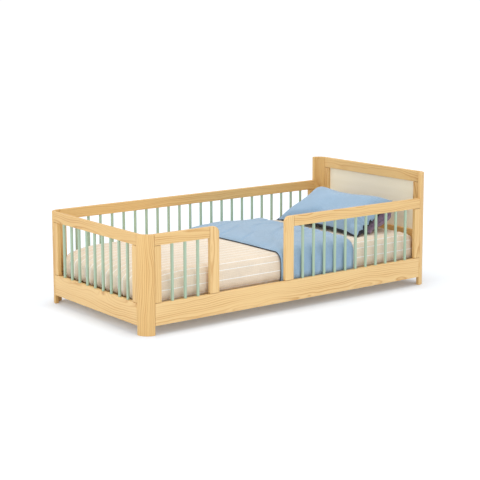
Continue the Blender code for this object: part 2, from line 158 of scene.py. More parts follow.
# ---------------------------------------------------------------- node helpers
class Wiring:
    """Short words for adding nodes and joining them up."""

    def __init__(self, tree):
        self.tree = tree

    def add(self, kind, ins=None, **settings):
        node = self.tree.nodes.new(kind)
        for key, value in settings.items():
            setattr(node, key, value)
        for key, value in (ins or {}).items():
            self.feed(node.inputs[key], value)
        return node

    def feed(self, socket, value):
        if isinstance(value, bpy.types.NodeSocket):
            self.tree.links.new(value, socket)
        else:
            socket.default_value = value

    def math(self, operation, a, b=0.0, c=None):
        ins = {0: a, 1: b} if c is None else {0: a, 1: b, 2: c}
        return self.add("ShaderNodeMath", ins, operation=operation).outputs[0]

    def vector(self, operation, a, b=(0, 0, 0)):
        node = self.add("ShaderNodeVectorMath", {0: a, 1: b}, operation=operation)
        return node.outputs["Value" if operation == "LENGTH" else "Vector"]

    def joined(self, x=0.0, y=0.0, z=0.0):
        return self.add("ShaderNodeCombineXYZ", {0: x, 1: y, 2: z}).outputs[0]

    def noise(self, where, detail=2.0, rough=0.5):
        ins = {"Vector": where, "Scale": 1.0, "Detail": detail, "Roughness": rough}
        return self.add("ShaderNodeTexNoise", ins, noise_dimensions="3D").outputs["Fac"]

    def noise_at(self, where, scales, detail=2.0, rough=0.5):
        return self.noise(self.vector("MULTIPLY", where, scales), detail, rough)

    def remap(self, value, low, high, to_low=0.0, to_high=1.0, smooth=False):
        ins = {"Value": value, "From Min": low, "From Max": high, "To Min": to_low,
               "To Max": to_high}
        kind = "SMOOTHSTEP" if smooth else "LINEAR"
        return self.add("ShaderNodeMapRange", ins, interpolation_type=kind).outputs["Result"]

    def attribute(self, name, kind):
        return self.add("GeometryNodeInputNamedAttribute", {"Name": name},
                        data_type=kind).outputs[0]

    def stored(self, shape, name, value, kind, domain):
        return self.add("GeometryNodeStoreNamedAttribute",
                        {"Geometry": shape, "Name": name, "Value": value},
                        data_type=kind, domain=domain).outputs[0]

    def shape_of(self, item):
        return self.add("GeometryNodeObjectInfo", {"Object": item}).outputs["Geometry"]

    def facing(self, direction):
        return self.add("FunctionNodeAlignRotationToVector", {"Vector": direction},
                        axis="Z").outputs[0]

    def copies(self, points, one, **more):
        """One copy of a shape on each point."""
        return self.add("GeometryNodeInstanceOnPoints",
                        {"Points": points, "Instance": one, **more}).outputs[0]

    def mix(self, factor, a, b, blend="MIX"):
        node = self.add("ShaderNodeMix", data_type="RGBA", blend_type=blend)
        for index, value in ((0, factor), (6, a), (7, b)):
            self.feed(node.inputs[index], value)
        return node.outputs[2]

    def ramp(self, value, stops):
        node = self.add("ShaderNodeValToRGB", {"Fac": value})
        points = node.color_ramp.elements
        while len(points) < len(stops):
            points.new(0.5)
        for point, (place, shade) in zip(points, stops):
            point.position, point.color = place, (shade, shade, shade, 1.0)
        return node.outputs["Color"]


def new_tree(kind, name, ins, outs):
    """A new node group with named sockets, its wiring and its two end nodes."""
    tree = bpy.data.node_groups.new(name, kind + "NodeTree")
    for side, rows in (("INPUT", ins), ("OUTPUT", outs)):
        for socket, label, *default in rows:
            made = tree.interface.new_socket(label, in_out=side, socket_type="NodeSocket" + socket)
            if default:
                made.default_value = default[0]
    wires = Wiring(tree)
    return (tree, wires, wires.add("NodeGroupInput").outputs,
            wires.add("NodeGroupOutput").inputs)


# ---------------------------------------------------------------- shader groups
def pine_grain():
    """Growth rings cut through by the board, bent round knots, with fine fibres along it, and a
    painted highlight on its edges.
    """
    tree, w, given, out = new_tree(
        "Shader", "Pine grain",
        [("Vector", "Plank"), ("Vector", "Knot place"), ("Float", "Ring spacing", 0.009),
         ("Float", "Tone", 0.0), ("Float", "Edge", 0.0),
         ("Color", "Early wood"), ("Color", "Late wood"), ("Color", "Knot")],
        [("Color", "Color"), ("Float", "Roughness"), ("Float", "Height")])
    plank, spacing = given["Plank"], given["Ring spacing"]
    sway = w.math("SUBTRACT", w.noise_at(plank, (1.9, 3.2, 3.2)), 0.5)
    shiver = w.math("SUBTRACT", w.noise_at(plank, (7.0, 13.0, 13.0)), 0.5)

    away = w.vector("LENGTH", w.vector("MULTIPLY", given["Knot place"], (0.62, 1.0, 0.0)))
    near = w.remap(away, 0.050, 0.004, smooth=True)
    halo = w.remap(away, 0.018, 0.009, smooth=True)
    heart = w.remap(away, 0.0095, 0.0060, smooth=True)

    depth = w.vector("LENGTH", w.vector("MULTIPLY", plank, (0.0, 1.0, 1.0)))
    for bend, amount in ((sway, 0.070), (shiver, 0.0120), (near, 0.015)):
        depth = w.math("MULTIPLY_ADD", bend, amount, depth)
    years = w.noise(w.joined(w.math("MULTIPLY", depth, 62.0)), 1.0)
    depth = w.math("MULTIPLY_ADD", w.math("SUBTRACT", years, 0.5), 0.016, depth)
    late = w.ramp(w.math("FRACT", w.math("DIVIDE", depth, spacing)),
                  ((0.0, 0.25), (0.12, 0.0), (0.50, 0.08), (0.74, 0.45), (0.88, 1.0), (1.0, 0.25)))
    faint = w.math("FRACT", w.math("DIVIDE", depth, w.math("MULTIPLY", spacing, 0.31)))

    fibres = w.noise_at(plank, (12.0, 420.0, 420.0), 2.0, 0.6)
    patches = w.noise_at(plank, (2.0, 14.0, 14.0), 1.0)
    factor = w.math("MULTIPLY", late, w.remap(patches, 0.32, 0.68, 0.16, 0.98))
    # The board's edges pull towards the early wood: a painted highlight on the rounded edges.
    for part, amount in ((faint, 0.09), (w.math("SUBTRACT", fibres, 0.5), 0.30),
                         (given["Edge"], -0.22)):
        factor = w.math("MULTIPLY_ADD", part, amount, factor)
    factor = w.add("ShaderNodeClamp", {"Value": factor}).outputs[0]
    shade = w.mix(factor, given["Early wood"], given["Late wood"])
    shade = w.mix(w.math("MULTIPLY", halo, 0.30), shade, given["Late wood"])
    shade = w.mix(w.math("MULTIPLY", heart, 0.45), shade, given["Knot"])
    w.feed(out["Color"], w.mix(given["Tone"], shade, (0.76, 0.64, 0.40, 1.0), "MULTIPLY"))
    w.feed(out["Roughness"], w.remap(fibres, 0.2, 0.8, 0.40, 0.56))
    relief = w.math("MULTIPLY_ADD", late, 0.35, w.math("MULTIPLY", fibres, 0.5))
    w.feed(out["Height"], w.math("MULTIPLY_ADD", heart, -0.3, relief))
    return tree


def brushed_paint():
    """Satin paint: long faint brush marks, a little unevenness, and paler edges that are a painted
    highlight.
    """
    tree, w, given, out = new_tree(
        "Shader", "Brushed paint",
        [("Vector", "Along"), ("Color", "Paint"), ("Float", "Edge", 0.0)],
        [("Color", "Color"), ("Float", "Roughness"), ("Float", "Height")])
    marks = w.noise(given["Along"], 3.0, 0.6)
    cloud = w.noise_at(given["Along"], (0.05, 0.05, 0.25))
    dark = w.mix(1.0, given["Paint"], (0.96, 0.965, 0.96, 1.0), "MULTIPLY")
    light = w.mix(0.22, given["Paint"], (1.0, 1.0, 1.0, 1.0))
    shade = w.mix(w.remap(cloud, 0.3, 0.7), dark, given["Paint"])
    shade = w.mix(w.remap(marks, 0.45, 0.75, 0.0, 0.3), shade, light)
    # Paler paint on the edges: a painted highlight.
    w.feed(out["Color"], w.mix(w.math("MULTIPLY", given["Edge"], 0.5), shade, light))
    w.feed(out["Roughness"], w.remap(marks, 0.3, 0.7, 0.34, 0.48))
    w.feed(out["Height"], marks)
    return tree


def woven_cloth():
    """Plain weave: warp and weft threads over and under, with slubs and slow unevenness."""
    tree, w, given, out = new_tree(
        "Shader", "Woven cloth",
        [("Vector", "Cloth"), ("Float", "Thread pitch", 0.0016), ("Color", "Dye"),
         ("Float", "Slubs", 0.5)],
        [("Color", "Color"), ("Float", "Height")])
    cloth_map = given["Cloth"]
    flat = w.add("ShaderNodeSeparateXYZ", {0: cloth_map}).outputs
    turn = w.math("DIVIDE", math.pi, given["Thread pitch"])
    waves = [w.math("SINE", w.math("MULTIPLY", flat[i], turn)) for i in (0, 1)]
    warp, weft = [w.math("ABSOLUTE", wave) for wave in waves]
    side = w.remap(w.math("MULTIPLY", *waves), -0.2, 0.2)
    weave = w.math("ADD", w.math("MULTIPLY", warp, side),
                   w.math("MULTIPLY", weft, w.math("SUBTRACT", 1.0, side)))
    slubs = [w.noise_at(cloth_map, scales, 1.0) for scales in ((18.0, 700.0, 1.0),
                                                               (700.0, 18.0, 1.0))]
    slub = w.math("MULTIPLY", w.math("SUBTRACT", w.math("ADD", *slubs), 1.0), given["Slubs"])
    cloud = w.noise_at(cloth_map, (5.0, 5.0, 1.0), 3.0)
    level = w.math("ADD", w.remap(weave, 0.0, 1.0, 0.86, 1.06), slub)
    level = w.math("MULTIPLY", level, w.remap(cloud, 0.3, 0.7, 0.95, 1.04))
    w.feed(out["Color"], w.mix(1.0, given["Dye"], w.joined(level, level, level), "MULTIPLY"))
    w.feed(out["Height"], weave)
    return tree


# ---------------------------------------------------------------- materials
SHARED = {}                 # shader groups, geometry trees and materials, each made once


def once(name, make):
    """What make() gives, made the first time the name is asked for."""
    if name not in SHARED:
        SHARED[name] = make()
    return SHARED[name]


def solid(values):
    return (*values, 1.0)


class Finish:
    """A new material: its wiring, its shader, and a shader group fed with values by name."""

    def __init__(self, name):
        self.material = bpy.data.materials.new(name)
        self.material.use_nodes = True
        self.wires = Wiring(self.material.node_tree)
        self.shader = self.material.node_tree.nodes["Principled BSDF"]

    def uses(self, tree, **values):
        group = self.wires.add("ShaderNodeGroup", node_tree=tree)
        for key, value in values.items():
            self.wires.feed(group.inputs[key.replace("_", " ")], value)
        return group.outputs

    def sets(self, **values):
        """Feed the shader's own inputs; names as in the shader, with _ for spaces."""
        for key, value in values.items():
            self.wires.feed(self.shader.inputs[key.replace("_", " ")], value)

    def bump(self, height, distance):
        """Add the surface relief, and give the finished material."""
        bump = self.wires.add("ShaderNodeBump", {"Strength": 1.0, "Distance": distance,
                                                 "Height": height})
        self.wires.feed(self.shader.inputs["Normal"], bump.outputs["Normal"])
        return self.material


def pine(settings, varnished=True):
    def make():
        made, finishes = Finish("pine_varnished" if varnished else "pine_planed"), settings.finishes
        plank, knot, tone, edge = [
            made.wires.add("ShaderNodeAttribute", attribute_name=name).outputs[out]
            for name, out in (("plank", "Vector"), ("knot", "Vector"), ("tone", "Fac"),
                              ("edge", "Fac"))]
        grain = made.uses(once("grain", pine_grain), Plank=plank, Knot_place=knot, Tone=tone,
                          Edge=edge, Ring_spacing=settings.sizes.ring,
                          Early_wood=solid(finishes.pine), Late_wood=solid(finishes.pine_line),
                          Knot=solid(finishes.knot))
        made.sets(Base_Color=grain["Color"], Roughness=grain["Roughness"],
                  Specular_IOR_Level=0.35, Coat_Weight=0.10 if varnished else 0.0,
                  Coat_Roughness=0.30)
        return made.bump(grain["Height"], 0.00025 if varnished else 0.0005)
    return once("pine%d" % varnished, make)


def paint(name, dye, stretch):
    def make():
        made = Finish(name)
        place = made.wires.add("ShaderNodeTexCoord").outputs["Object"]
        edge = made.wires.add("ShaderNodeAttribute", attribute_name="edge").outputs["Fac"]
        coat = made.uses(once("paint", brushed_paint), Paint=solid(dye), Edge=edge,
                         Along=made.wires.vector("MULTIPLY", place, stretch))
        made.sets(Base_Color=coat["Color"], Roughness=coat["Roughness"])
        return made.bump(coat["Height"], 0.0002)
    return once(name, make)


WEAVE_DEPTH = 0.0003


def cloth(settings, name, dye, sheen):
    def make():
        made = Finish(name)
        flat = made.wires.add("ShaderNodeUVMap", uv_map="cloth").outputs["UV"]
        weave = made.uses(once("weave", woven_cloth), Cloth=flat, Dye=solid(dye), Slubs=0.35,
                          Thread_pitch=settings.sizes.thread)
        made.sets(Base_Color=weave["Color"], Roughness=0.9, Sheen_Weight=sheen,
                  Sheen_Roughness=0.5)
        return made.bump(weave["Height"], WEAVE_DEPTH)
    return once(name, make)


def striped_cloth(settings):
    """The fitted sheet: broad woven stripes, finer darker ones between them."""
    made, sizes, finishes = Finish("sheet_striped"), settings.sizes, settings.finishes
    w = made.wires
    flat = w.add("ShaderNodeUVMap", uv_map="cloth").outputs["UV"]
    over = w.math("ADD", w.add("ShaderNodeSeparateXYZ", {0: flat}).outputs[1], STRIPE_PHASE)

    def from_line(pitch):
        place = w.math("FRACT", w.math("DIVIDE", over, pitch))
        return w.math("ABSOLUTE", w.math("SUBTRACT", place, 0.5))

    half = sizes.stripe_width / sizes.stripe_pitch / 2
    broad = w.remap(from_line(sizes.stripe_pitch), half * 1.25, half * 0.75)
    fine = w.remap(from_line(sizes.stripe_pitch / FINE_STRIPES), 0.16, 0.08)
    ground = w.mix(w.math("MULTIPLY", fine, 0.14), solid(finishes.sheet), FINE_STRIPE_COLOUR)
    weave = made.uses(once("weave", woven_cloth), Cloth=flat, Slubs=0.3,
                      Thread_pitch=sizes.thread, Dye=w.mix(broad, ground, solid(finishes.stripe)))
    made.sets(Base_Color=weave["Color"], Roughness=0.9, Sheen_Weight=0.15)
    return made.bump(w.math("MULTIPLY_ADD", broad, 0.8, weave["Height"]), WEAVE_DEPTH)


def steel():
    made = Finish("zinc_plated_steel")
    place = made.wires.add("ShaderNodeTexCoord").outputs["Object"]
    fleck = made.wires.noise_at(place, (900.0, 900.0, 900.0), 3.0)
    made.sets(Base_Color=made.wires.mix(fleck, (0.42, 0.42, 0.40, 1), (0.62, 0.61, 0.57, 1)),
              Metallic=1.0, Roughness=made.wires.remap(fleck, 0.3, 0.7, 0.28, 0.42))
    return made.material


# ---------------------------------------------------------------- mesh helpers
def new_object(name, data, materials=()):
    item = bpy.data.objects.new(name, data)
    for mat in materials:
        data.materials.append(mat)
    bpy.context.scene.collection.objects.link(item)
    return item


def mesh_of(name, bm):
    """The finished mesh of a bmesh, which is let go."""
    mesh = bpy.data.meshes.new(name)
    bm.to_mesh(mesh)
    bm.free()
    return mesh


def mesh_from(name, points, edges=(), faces=()):
    mesh = bpy.data.meshes.new(name)
    mesh.from_pydata([tuple(p) for p in points], edges, faces)
    return mesh


def finish_piece(item, slot, *nodes):
    """Ride on the bed's body and stand for the solids. The slot is not used."""
    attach(item, ROOT)
    if nodes:
        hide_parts(*nodes)
    return item


def coordinates(mesh):
    places = np.zeros(len(mesh.vertices) * 3)
    mesh.vertices.foreach_get("co", places)
    return places.reshape(-1, 3)


def store(mesh, name, kind, values, key):
    layer = mesh.attributes.new(name, kind, "POINT")
    layer.data.foreach_set(key, np.asarray(values, np.float32).ravel())


def smooth_by_area(mesh):
    """Soft shading whose flat faces stay flat, because each face counts by its size."""
    mesh.shade_smooth()
    normals = np.zeros((len(mesh.vertices), 3))
    for face in mesh.polygons:
        weighted = np.array(face.normal) * face.area
        for corner in face.vertices:
            normals[corner] += weighted
    normals /= np.maximum(np.linalg.norm(normals, axis=1), 1e-12)[:, None]
    mesh.normals_split_custom_set_from_vertices([tuple(n) for n in normals])


def soften(bm, radius, angle=math.radians(30)):
    """Round the edges of a closed solid that turn more than the angle."""
    edges = [e for e in bm.edges if e.calc_face_angle(0.0) > angle]
    bmesh.ops.bevel(bm, geom=edges, offset=radius, offset_type="OFFSET", segments=3,
                    profile=0.5, affect="EDGES", clamp_overlap=True)


def seed_of(name):
    """A fixed seed for the random draws of one board."""
    return sum((i + 1) * ord(letter) for i, letter in enumerate(name))


def plank_facts(mesh, name, axis, tone, edge):
    """Store each point's place in the log that the board was cut from, its tone and edges."""
    draw = random.Random(seed_of(name))
    places = coordinates(mesh)
    low, high = places.min(0), places.max(0)
    size = high - low
    broad, narrow = sorted((i for i in range(3) if i != axis), key=lambda i: -size[i])
    local = places - (low + high) / 2
    along = local[:, axis] + draw.uniform(0, 40)
    across = local[:, broad] + draw.choice((-1, 1)) * draw.uniform(0.30, 0.75) * size[broad]
    deep = local[:, narrow] + draw.choice((-1, 1)) * draw.uniform(0.022, 0.040)
    knot = KNOTS.get(name.replace("_wood", ""), NO_KNOT)
    flat = [local[:, axis] - knot[0], local[:, broad] - knot[1], np.zeros(len(places))]
    close = ((places - low) < edge * 0.9) | ((high - places) < edge * 0.9)
    store(mesh, "plank", "FLOAT_VECTOR", np.stack([along, across, deep], axis=1), "vector")
    store(mesh, "knot", "FLOAT_VECTOR", np.stack(flat, axis=1), "vector")
    store(mesh, "tone", "FLOAT", np.full(len(places), tone), "value")
    # The edge mask: where the wood and paint shaders paint a highlight on the rounded edges.
    store(mesh, "edge", "FLOAT", (close.sum(1) >= 2).astype(float), "value")


def box_mesh(low, high):
    bm = bmesh.new()
    bmesh.ops.create_cube(bm, size=1.0)
    size, middle = Vector(high) - Vector(low), (Vector(high) + Vector(low)) / 2
    for vert in bm.verts:
        vert.co = Vector(a * b for a, b in zip(vert.co, size)) + middle
    return bm


def board(name, low, high, mat, radius, tone=0.3, bm=None, axis=None):
    """One sawn and sanded board, with its place in the log stored on it."""
    bm = bm or box_mesh(low, high)
    soften(bm, radius)
    mesh = mesh_of(name, bm)
    size = Vector(high) - Vector(low)
    axis = max(range(3), key=lambda i: size[i]) if axis is None else axis
    plank_facts(mesh, name, axis, tone, radius)
    smooth_by_area(mesh)
    return new_object(name, mesh, [mat])


def band(bm, near, far):
    """Faces all round between two rings of points."""
    for i in range(len(near)):
        j = (i + 1) % len(near)
        bm.faces.new((near[i], near[j], far[j], far[i]))


def extruded(outline, place, start, end):
    """Closed solid of an outline, moved by place(a, b, depth) to two depths."""
    bm = bmesh.new()
    near = [bm.verts.new(place(a, b, start)) for a, b in outline]
    far = [bm.verts.new(place(a, b, end)) for a, b in outline]
    band(bm, near, far)
    bm.faces.new(reversed(near))
    bm.faces.new(far)
    bmesh.ops.recalc_face_normals(bm, faces=bm.faces[:])
    return bm


# ---------------------------------------------------------------- geometry node helpers
def geometry_tree(name, *ins):
    shape = ("Geometry", "Geometry")
    return new_tree("Geometry", name, [shape, *ins], [shape])


def finish_tree(w, shape, mat, out):
    """End a geometry tree: real geometry with its material."""
    real = w.add("GeometryNodeRealizeInstances", {"Geometry": shape}).outputs[0]
    w.feed(out[0], w.add("GeometryNodeSetMaterial", {"Geometry": real, "Material": mat}).outputs[0])


def grown(name, tree, values, start=None):
    """Run a geometry tree on a mesh and keep its result as one plain mesh piece."""
    item = bpy.data.objects.new(name, start or bpy.data.meshes.new(name + "_start"))
    bpy.context.scene.collection.objects.link(item)
    step = item.modifiers.new("make", "NODES")
    step.node_group = tree
    for socket in tree.interface.items_tree:
        if socket.in_out == "INPUT" and socket.name in values:
            value = values[socket.name]
            step[socket.identifier] = tuple(value) if isinstance(value, Vector) else value
    evaluated = item.evaluated_get(bpy.context.evaluated_depsgraph_get())
    mesh = bpy.data.meshes.new_from_object(evaluated)
    item.modifiers.remove(step)
    item.data = mesh
    mesh.name = name
    return item


def spindle_tree():
    """A straight row of round rods that stand on a line of even steps."""
    tree, w, given, out = geometry_tree(
        "Spindle row", ("Int", "Count", 10), ("Vector", "First"), ("Vector", "Step"),
        ("Float", "Radius", 0.008), ("Float", "Length", 0.3), ("Material", "Paint"))
    line = w.add("GeometryNodeMeshLine", {"Count": given["Count"], "Offset": given["Step"],
                                          "Start Location": given["First"]}).outputs[0]
    rod = w.add("GeometryNodeMeshCylinder", {"Vertices": 28, "Side Segments": 6,
                                             "Radius": given["Radius"], "Depth": given["Length"]})
    rods = w.copies(line, rod.outputs["Mesh"])
    finish_tree(w, rods, given["Paint"], out)
    return tree


def slat_tree():
    """A row of boards, each cut from another stretch of the log."""
    tree, w, given, out = geometry_tree(
        "Slat row", ("Int", "Count", 12), ("Vector", "Step"), ("Float", "Log shift", 1.7),
        ("Object", "Board"), ("Material", "Wood"))
    line = w.add("GeometryNodeMeshLine",
                 {"Count": given["Count"], "Offset": given["Step"]}).outputs[0]
    row = w.copies(line, w.shape_of(given["Board"]))
    number = w.add("GeometryNodeInputIndex").outputs[0]
    marked = w.stored(row, "turn", number, "FLOAT", "INSTANCE")
    real = w.add("GeometryNodeRealizeInstances", {"Geometry": marked}).outputs[0]
    shift = w.joined(w.math("MULTIPLY", w.attribute("turn", "FLOAT"), given["Log shift"]))
    moved = w.vector("ADD", w.attribute("plank", "FLOAT_VECTOR"), shift)
    finish_tree(w, w.stored(real, "plank", moved, "FLOAT_VECTOR", "POINT"), given["Wood"], out)
    return tree


def scatter_tree():
    """One small part set on every point of a mesh, turned to the point's own direction."""
    tree, w, given, out = geometry_tree(
        "Small parts", ("Object", "Part"), ("Float", "Turn", 0.7), ("Int", "Seed", 4),
        ("Material", "Finish"))
    draw = w.add("FunctionNodeRandomValue", {3: given["Turn"], "Seed": given["Seed"]},
                 data_type="FLOAT")
    turned = w.add("FunctionNodeRotateRotation",
                   {"Rotation": w.facing(w.attribute("facing", "FLOAT_VECTOR")),
                    "Rotate By": w.joined(z=draw.outputs[1])}, rotation_space="LOCAL").outputs[0]
    parts = w.copies(given["Geometry"], w.shape_of(given["Part"]), Rotation=turned)
    finish_tree(w, parts, given["Finish"], out)
    return tree


def stitch_tree():
    """Short rounded stitches laid end to end along the edges of a mesh."""
    tree, w, given, out = geometry_tree(
        "Stitches", ("Float", "Spacing", 0.007), ("Float", "Length", 0.0045),
        ("Float", "Thickness", 0.0005), ("Material", "Thread"))
    path = w.add("GeometryNodeMeshToCurve", {"Mesh": given["Geometry"]}).outputs[0]
    dots = w.add("GeometryNodeCurveToPoints", {"Curve": path, "Length": given["Spacing"]},
                 mode="LENGTH").outputs
    one = w.add("GeometryNodeMeshUVSphere", {"Segments": 6, "Rings": 4, "Radius": 0.5})
    size = w.joined(given["Thickness"], given["Thickness"], given["Length"])
    row = w.copies(dots["Points"], one.outputs["Mesh"], Rotation=w.facing(dots["Tangent"]),
                   Scale=size)
    finish_tree(w, row, given["Thread"], out)
    return tree


def cord_tree():
    """A round cord along the edges of a mesh: the piping of a seam."""
    tree, w, given, out = geometry_tree(
        "Piping", ("Float", "Radius", 0.0026), ("Int", "Sides", 8), ("Material", "Cover"))
    path = w.add("GeometryNodeMeshToCurve", {"Mesh": given["Geometry"]}).outputs[0]
    ring = w.add("GeometryNodeCurvePrimitiveCircle", {"Resolution": given["Sides"],
                                                      "Radius": given["Radius"]}).outputs[0]
    tube = w.add("GeometryNodeCurveToMesh", {"Curve": path, "Profile Curve": ring,
                                             "Fill Caps": True}).outputs[0]
    finish_tree(w, tube, given["Cover"], out)
    return tree


def line_mesh(name, paths, closed=True):
    """Edge-only mesh of several paths."""
    points, edges = [], []
    for path in paths:
        start = len(points)
        points += path
        edges += [(start + i, start + i + 1) for i in range(len(path) - 1)]
        if closed:
            edges.append((len(points) - 1, start))
    return mesh_from(name, points, edges)


def shaded(item, angle=35):
    """Soft shading that breaks at edges sharper than the angle, in degrees."""
    item.data.shade_smooth()
    item.data.set_sharp_from_angle(angle=math.radians(angle))
    return item


# ---------------------------------------------------------------- frame of the bed
def quarter(steps):
    """Angles from 0 to a right angle."""
    return [math.pi / 2 * i / steps for i in range(steps + 1)]


def corner_post(name, mat, radius, tone):
    """Quarter-round post: a bent shell with its grain upright."""
    low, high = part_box(name)
    side = Vector((math.copysign(1, low.x), math.copysign(1, low.y)))
    outer = (high - low).x
    centre = Vector((low.x if side.x > 0 else high.x, low.y if side.y > 0 else high.y))
    turns = quarter(20)
    outline = [(outer * math.cos(a), outer * math.sin(a)) for a in turns]
    inner = outer - BOARD
    outline += [(inner * math.cos(a), inner * math.sin(a)) for a in reversed(turns)]

    def place(a, b, z):
        return (centre.x + side.x * a, centre.y + side.y * b, z)

    bm = extruded(outline, place, low.z, high.z)
    return board(name + "_wood", low, high, mat, radius, tone, bm, 2)


def eased(name):
    """A board's box, drawn in a little where it meets another board, as real joints show."""
    gap, touching, least_overlap = 0.0009, 0.0004, 0.003
    low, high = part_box(name)
    low, high = list(low), list(high)
    others = [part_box(n) for n in (*BOARDS, *FREE_STILES, *POSTS) if n != name]
    for near, far in others:
        for axis in range(3):
            rest = [i for i in range(3) if i != axis]
            if any(min(high[i], far[i]) - max(low[i], near[i]) < least_overlap for i in rest):
                continue
            if abs(near[axis] - high[axis]) < touching:
                high[axis] -= gap
            if abs(far[axis] - low[axis]) < touching:
                low[axis] += gap
    return Vector(low), Vector(high)


def free_stile(name, mat, radius, lean):
    """Guard stile beside the entry gap, with its outer upper corner rounded."""
    low, high = eased(name)
    round_off = 0.034
    wide = high.x - low.x
    outline = [(0.0, low.z), (wide, low.z)]
    outline += [(wide - round_off * (1 - math.cos(a)), high.z - round_off * (1 - math.sin(a)))
                for a in quarter(12)]
    outline.append((0.0, high.z))
    start = low.x if lean > 0 else high.x

    def place(a, z, y):
        return (start + lean * a, y, z)

    return board(name + "_wood", low, high, mat, radius, FREE_STILE_TONE,
                 extruded(outline, place, low.y, high.y), 2)


class BED_OT_frame(bpy.types.Operator):
    """Posts, rails, stiles and the headboard's boards in varnished pine"""
    bl_idname = "bed.frame"
    bl_label = "Pine frame"

    def execute(self, context):
        settings = context.scene.bed
        mat, radius = pine(settings), settings.sizes.edge
        for name, tone in POSTS.items():
            finish_piece(corner_post(name, mat, radius, tone), "pine", name)
        for name, tone in BOARDS.items():
            finish_piece(board(name + "_wood", *eased(name), mat, radius, tone), "pine", name)
        for name, lean in FREE_STILES.items():
            finish_piece(free_stile(name, mat, radius, lean), "pine", name)
        return {"FINISHED"}


class BED_OT_spindles(bpy.types.Operator):
    """Painted round spindles of the foot end, the back and the two guards"""
    bl_idname = "bed.spindles"
    bl_label = "Spindles"

    def execute(self, context):
        settings = context.scene.bed
        coat = paint("sage_paint", settings.finishes.sage, (260.0, 260.0, 9.0))
        tree = spindle_tree()
        for name, count in ROWS.items():
            low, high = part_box(name)
            radius, middle = settings.sizes.spindle, (low + high) / 2
            half = (high - low) / 2
            reach = Vector((max(half.x - radius, 0.0), max(half.y - radius, 0.0), 0.0))
            first, last = middle - reach, middle + reach
            row = grown(name + "_turned", tree, {
                "Count": count, "First": first, "Step": (last - first) / (count - 1),
                "Radius": radius, "Length": high.z - low.z, "Paint": coat})
            finish_piece(shaded(row), "sage_paint", name)
        return {"FINISHED"}


class BED_OT_panel(bpy.types.Operator):
    """Cream painted panel of the headboard, in the boards' rebate"""
    bl_idname = "bed.panel"
    bl_label = "Headboard panel"

    def execute(self, context):
        settings = context.scene.bed
        coat = paint("cream_paint", settings.finishes.cream, (160.0, 5.0, 90.0))
        finish_piece(board("head_panel_painted", *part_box("head_panel"), coat, 0.0006),
                     "cream_paint", "head_panel")
        return {"FINISHED"}


class BED_OT_support(bpy.types.Operator):
    """Slats, side battens, centre beam and its legs in planed pine"""
    bl_idname = "bed.support"
    bl_label = "Slats and their support"

    def execute(self, context):
        settings = context.scene.bed
        mat = pine(settings, False)
        for name in SUPPORTS:
            finish_piece(board(name + "_wood", *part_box(name), mat, 0.0015, SUPPORT_TONE),
                         "sawn_pine", name)
        low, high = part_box(SLATS[0])
        one = board("slat_pattern", low, high, mat, 0.0020, SLAT_TONE)
        row = grown("slats_wood", slat_tree(), {
            "Count": len(SLATS), "Step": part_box(SLATS[1])[0] - low, "Board": one, "Wood": mat})
        bpy.data.objects.remove(one)
        smooth_by_area(row.data)
        finish_piece(row, "sawn_pine", *SLATS)
        return {"FINISHED"}


# ---------------------------------------------------------------- small metal parts
def screw_head():
    """Pan head with a cross recess, seen along +Z."""
    bm = bmesh.new()
    sides, radius, height, arm, half = 16, 0.0042, 0.0016, 0.0022, 0.0005
    turns = [2 * math.pi * i / sides for i in range(sides)]
    rings = [[bm.verts.new((math.cos(t) * r * radius, math.sin(t) * r * radius, z * height))
              for t in turns] for r, z in ((1.0, 0.0), (0.97, 0.45), (0.80, 0.85))]
    for lower, upper in zip(rings, rings[1:]):
        band(bm, lower, upper)
    corner = [(arm, -half), (arm, half), (half, half)]
    cross = [(a, b) for a, b in corner]
    for _ in range(3):
        corner = [(-b, a) for a, b in corner]
        cross += corner
    lip = [bm.verts.new((a, b, height)) for a, b in cross]
    floor = [bm.verts.new((a * 0.8, b * 0.8, height * 0.2)) for a, b in cross]
    band(bm, lip, floor)
    bm.faces.new(floor)
    bm.faces.new(list(reversed(rings[0])))
    border = [bm.edges.get((ring[i], ring[(i + 1) % len(ring)]))
              for ring in (rings[-1], lip) for i in range(len(ring))]
    bmesh.ops.triangle_fill(bm, edges=border, use_beauty=True, normal=(0, 0, 1))
    bmesh.ops.recalc_face_normals(bm, faces=bm.faces[:])
    return new_object("screw_head", mesh_of("screw_head", bm))


def screw_places():
    """Where the battens and the beam's blocks are screwed on, and which way each screw faces."""
    places, facings = [], []
    on_batten, on_block = [(i + 0.5) / 10 for i in range(10)], (0.2, 0.8)
    for name, axis, facing, shares in (
            ("front_ledger", 1, 1, on_batten), ("back_ledger", 1, -1, on_batten),
            ("foot_beam_cleat", 0, 1, on_block), ("head_beam_cleat", 0, -1, on_block)):
        low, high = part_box(name)
        for share in shares:
            spot, way = (low + high) / 2, [0, 0, 0]
            spot[axis], way[axis] = (high if facing > 0 else low)[axis], facing
            spot[1 - axis] = low[1 - axis] + (high[1 - axis] - low[1 - axis]) * share
            places.append(spot)
            facings.append(way)
    return places, facings


class BED_OT_metal(bpy.types.Operator):
    """Screws of the battens and blocks, and the draw-bolts with their cams"""
    bl_idname = "bed.metal"
    bl_label = "Screws and bolts"

    def execute(self, context):
        mat = steel()
        pattern = screw_head()
        places, facings = screw_places()
        spots = mesh_from("screws", places)
        store(spots, "facing", "FLOAT_VECTOR", facings, "vector")
        heads = grown("support_screws", scatter_tree(), {
            "Part": pattern, "Turn": 1.6, "Seed": 4, "Finish": mat}, spots)
        bpy.data.objects.remove(pattern)
        finish_piece(shaded(heads), "zinc_steel")
        for name in METAL:
            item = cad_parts[name]
            item.data.materials.clear()
            item.data.materials.append(mat)
        return {"FINISHED"}


# ---------------------------------------------------------------- bedding helpers
def soft_noise(x, y, z=0.0):
    return noise.noise(Vector((x, y, z)))


def smooth_step(a, b, t):
    """0 at a, 1 at b, eased at both; a may be above b."""
    t = min(max((t - a) / (b - a), 0.0), 1.0)
    return t * t * (3 - 2 * t)


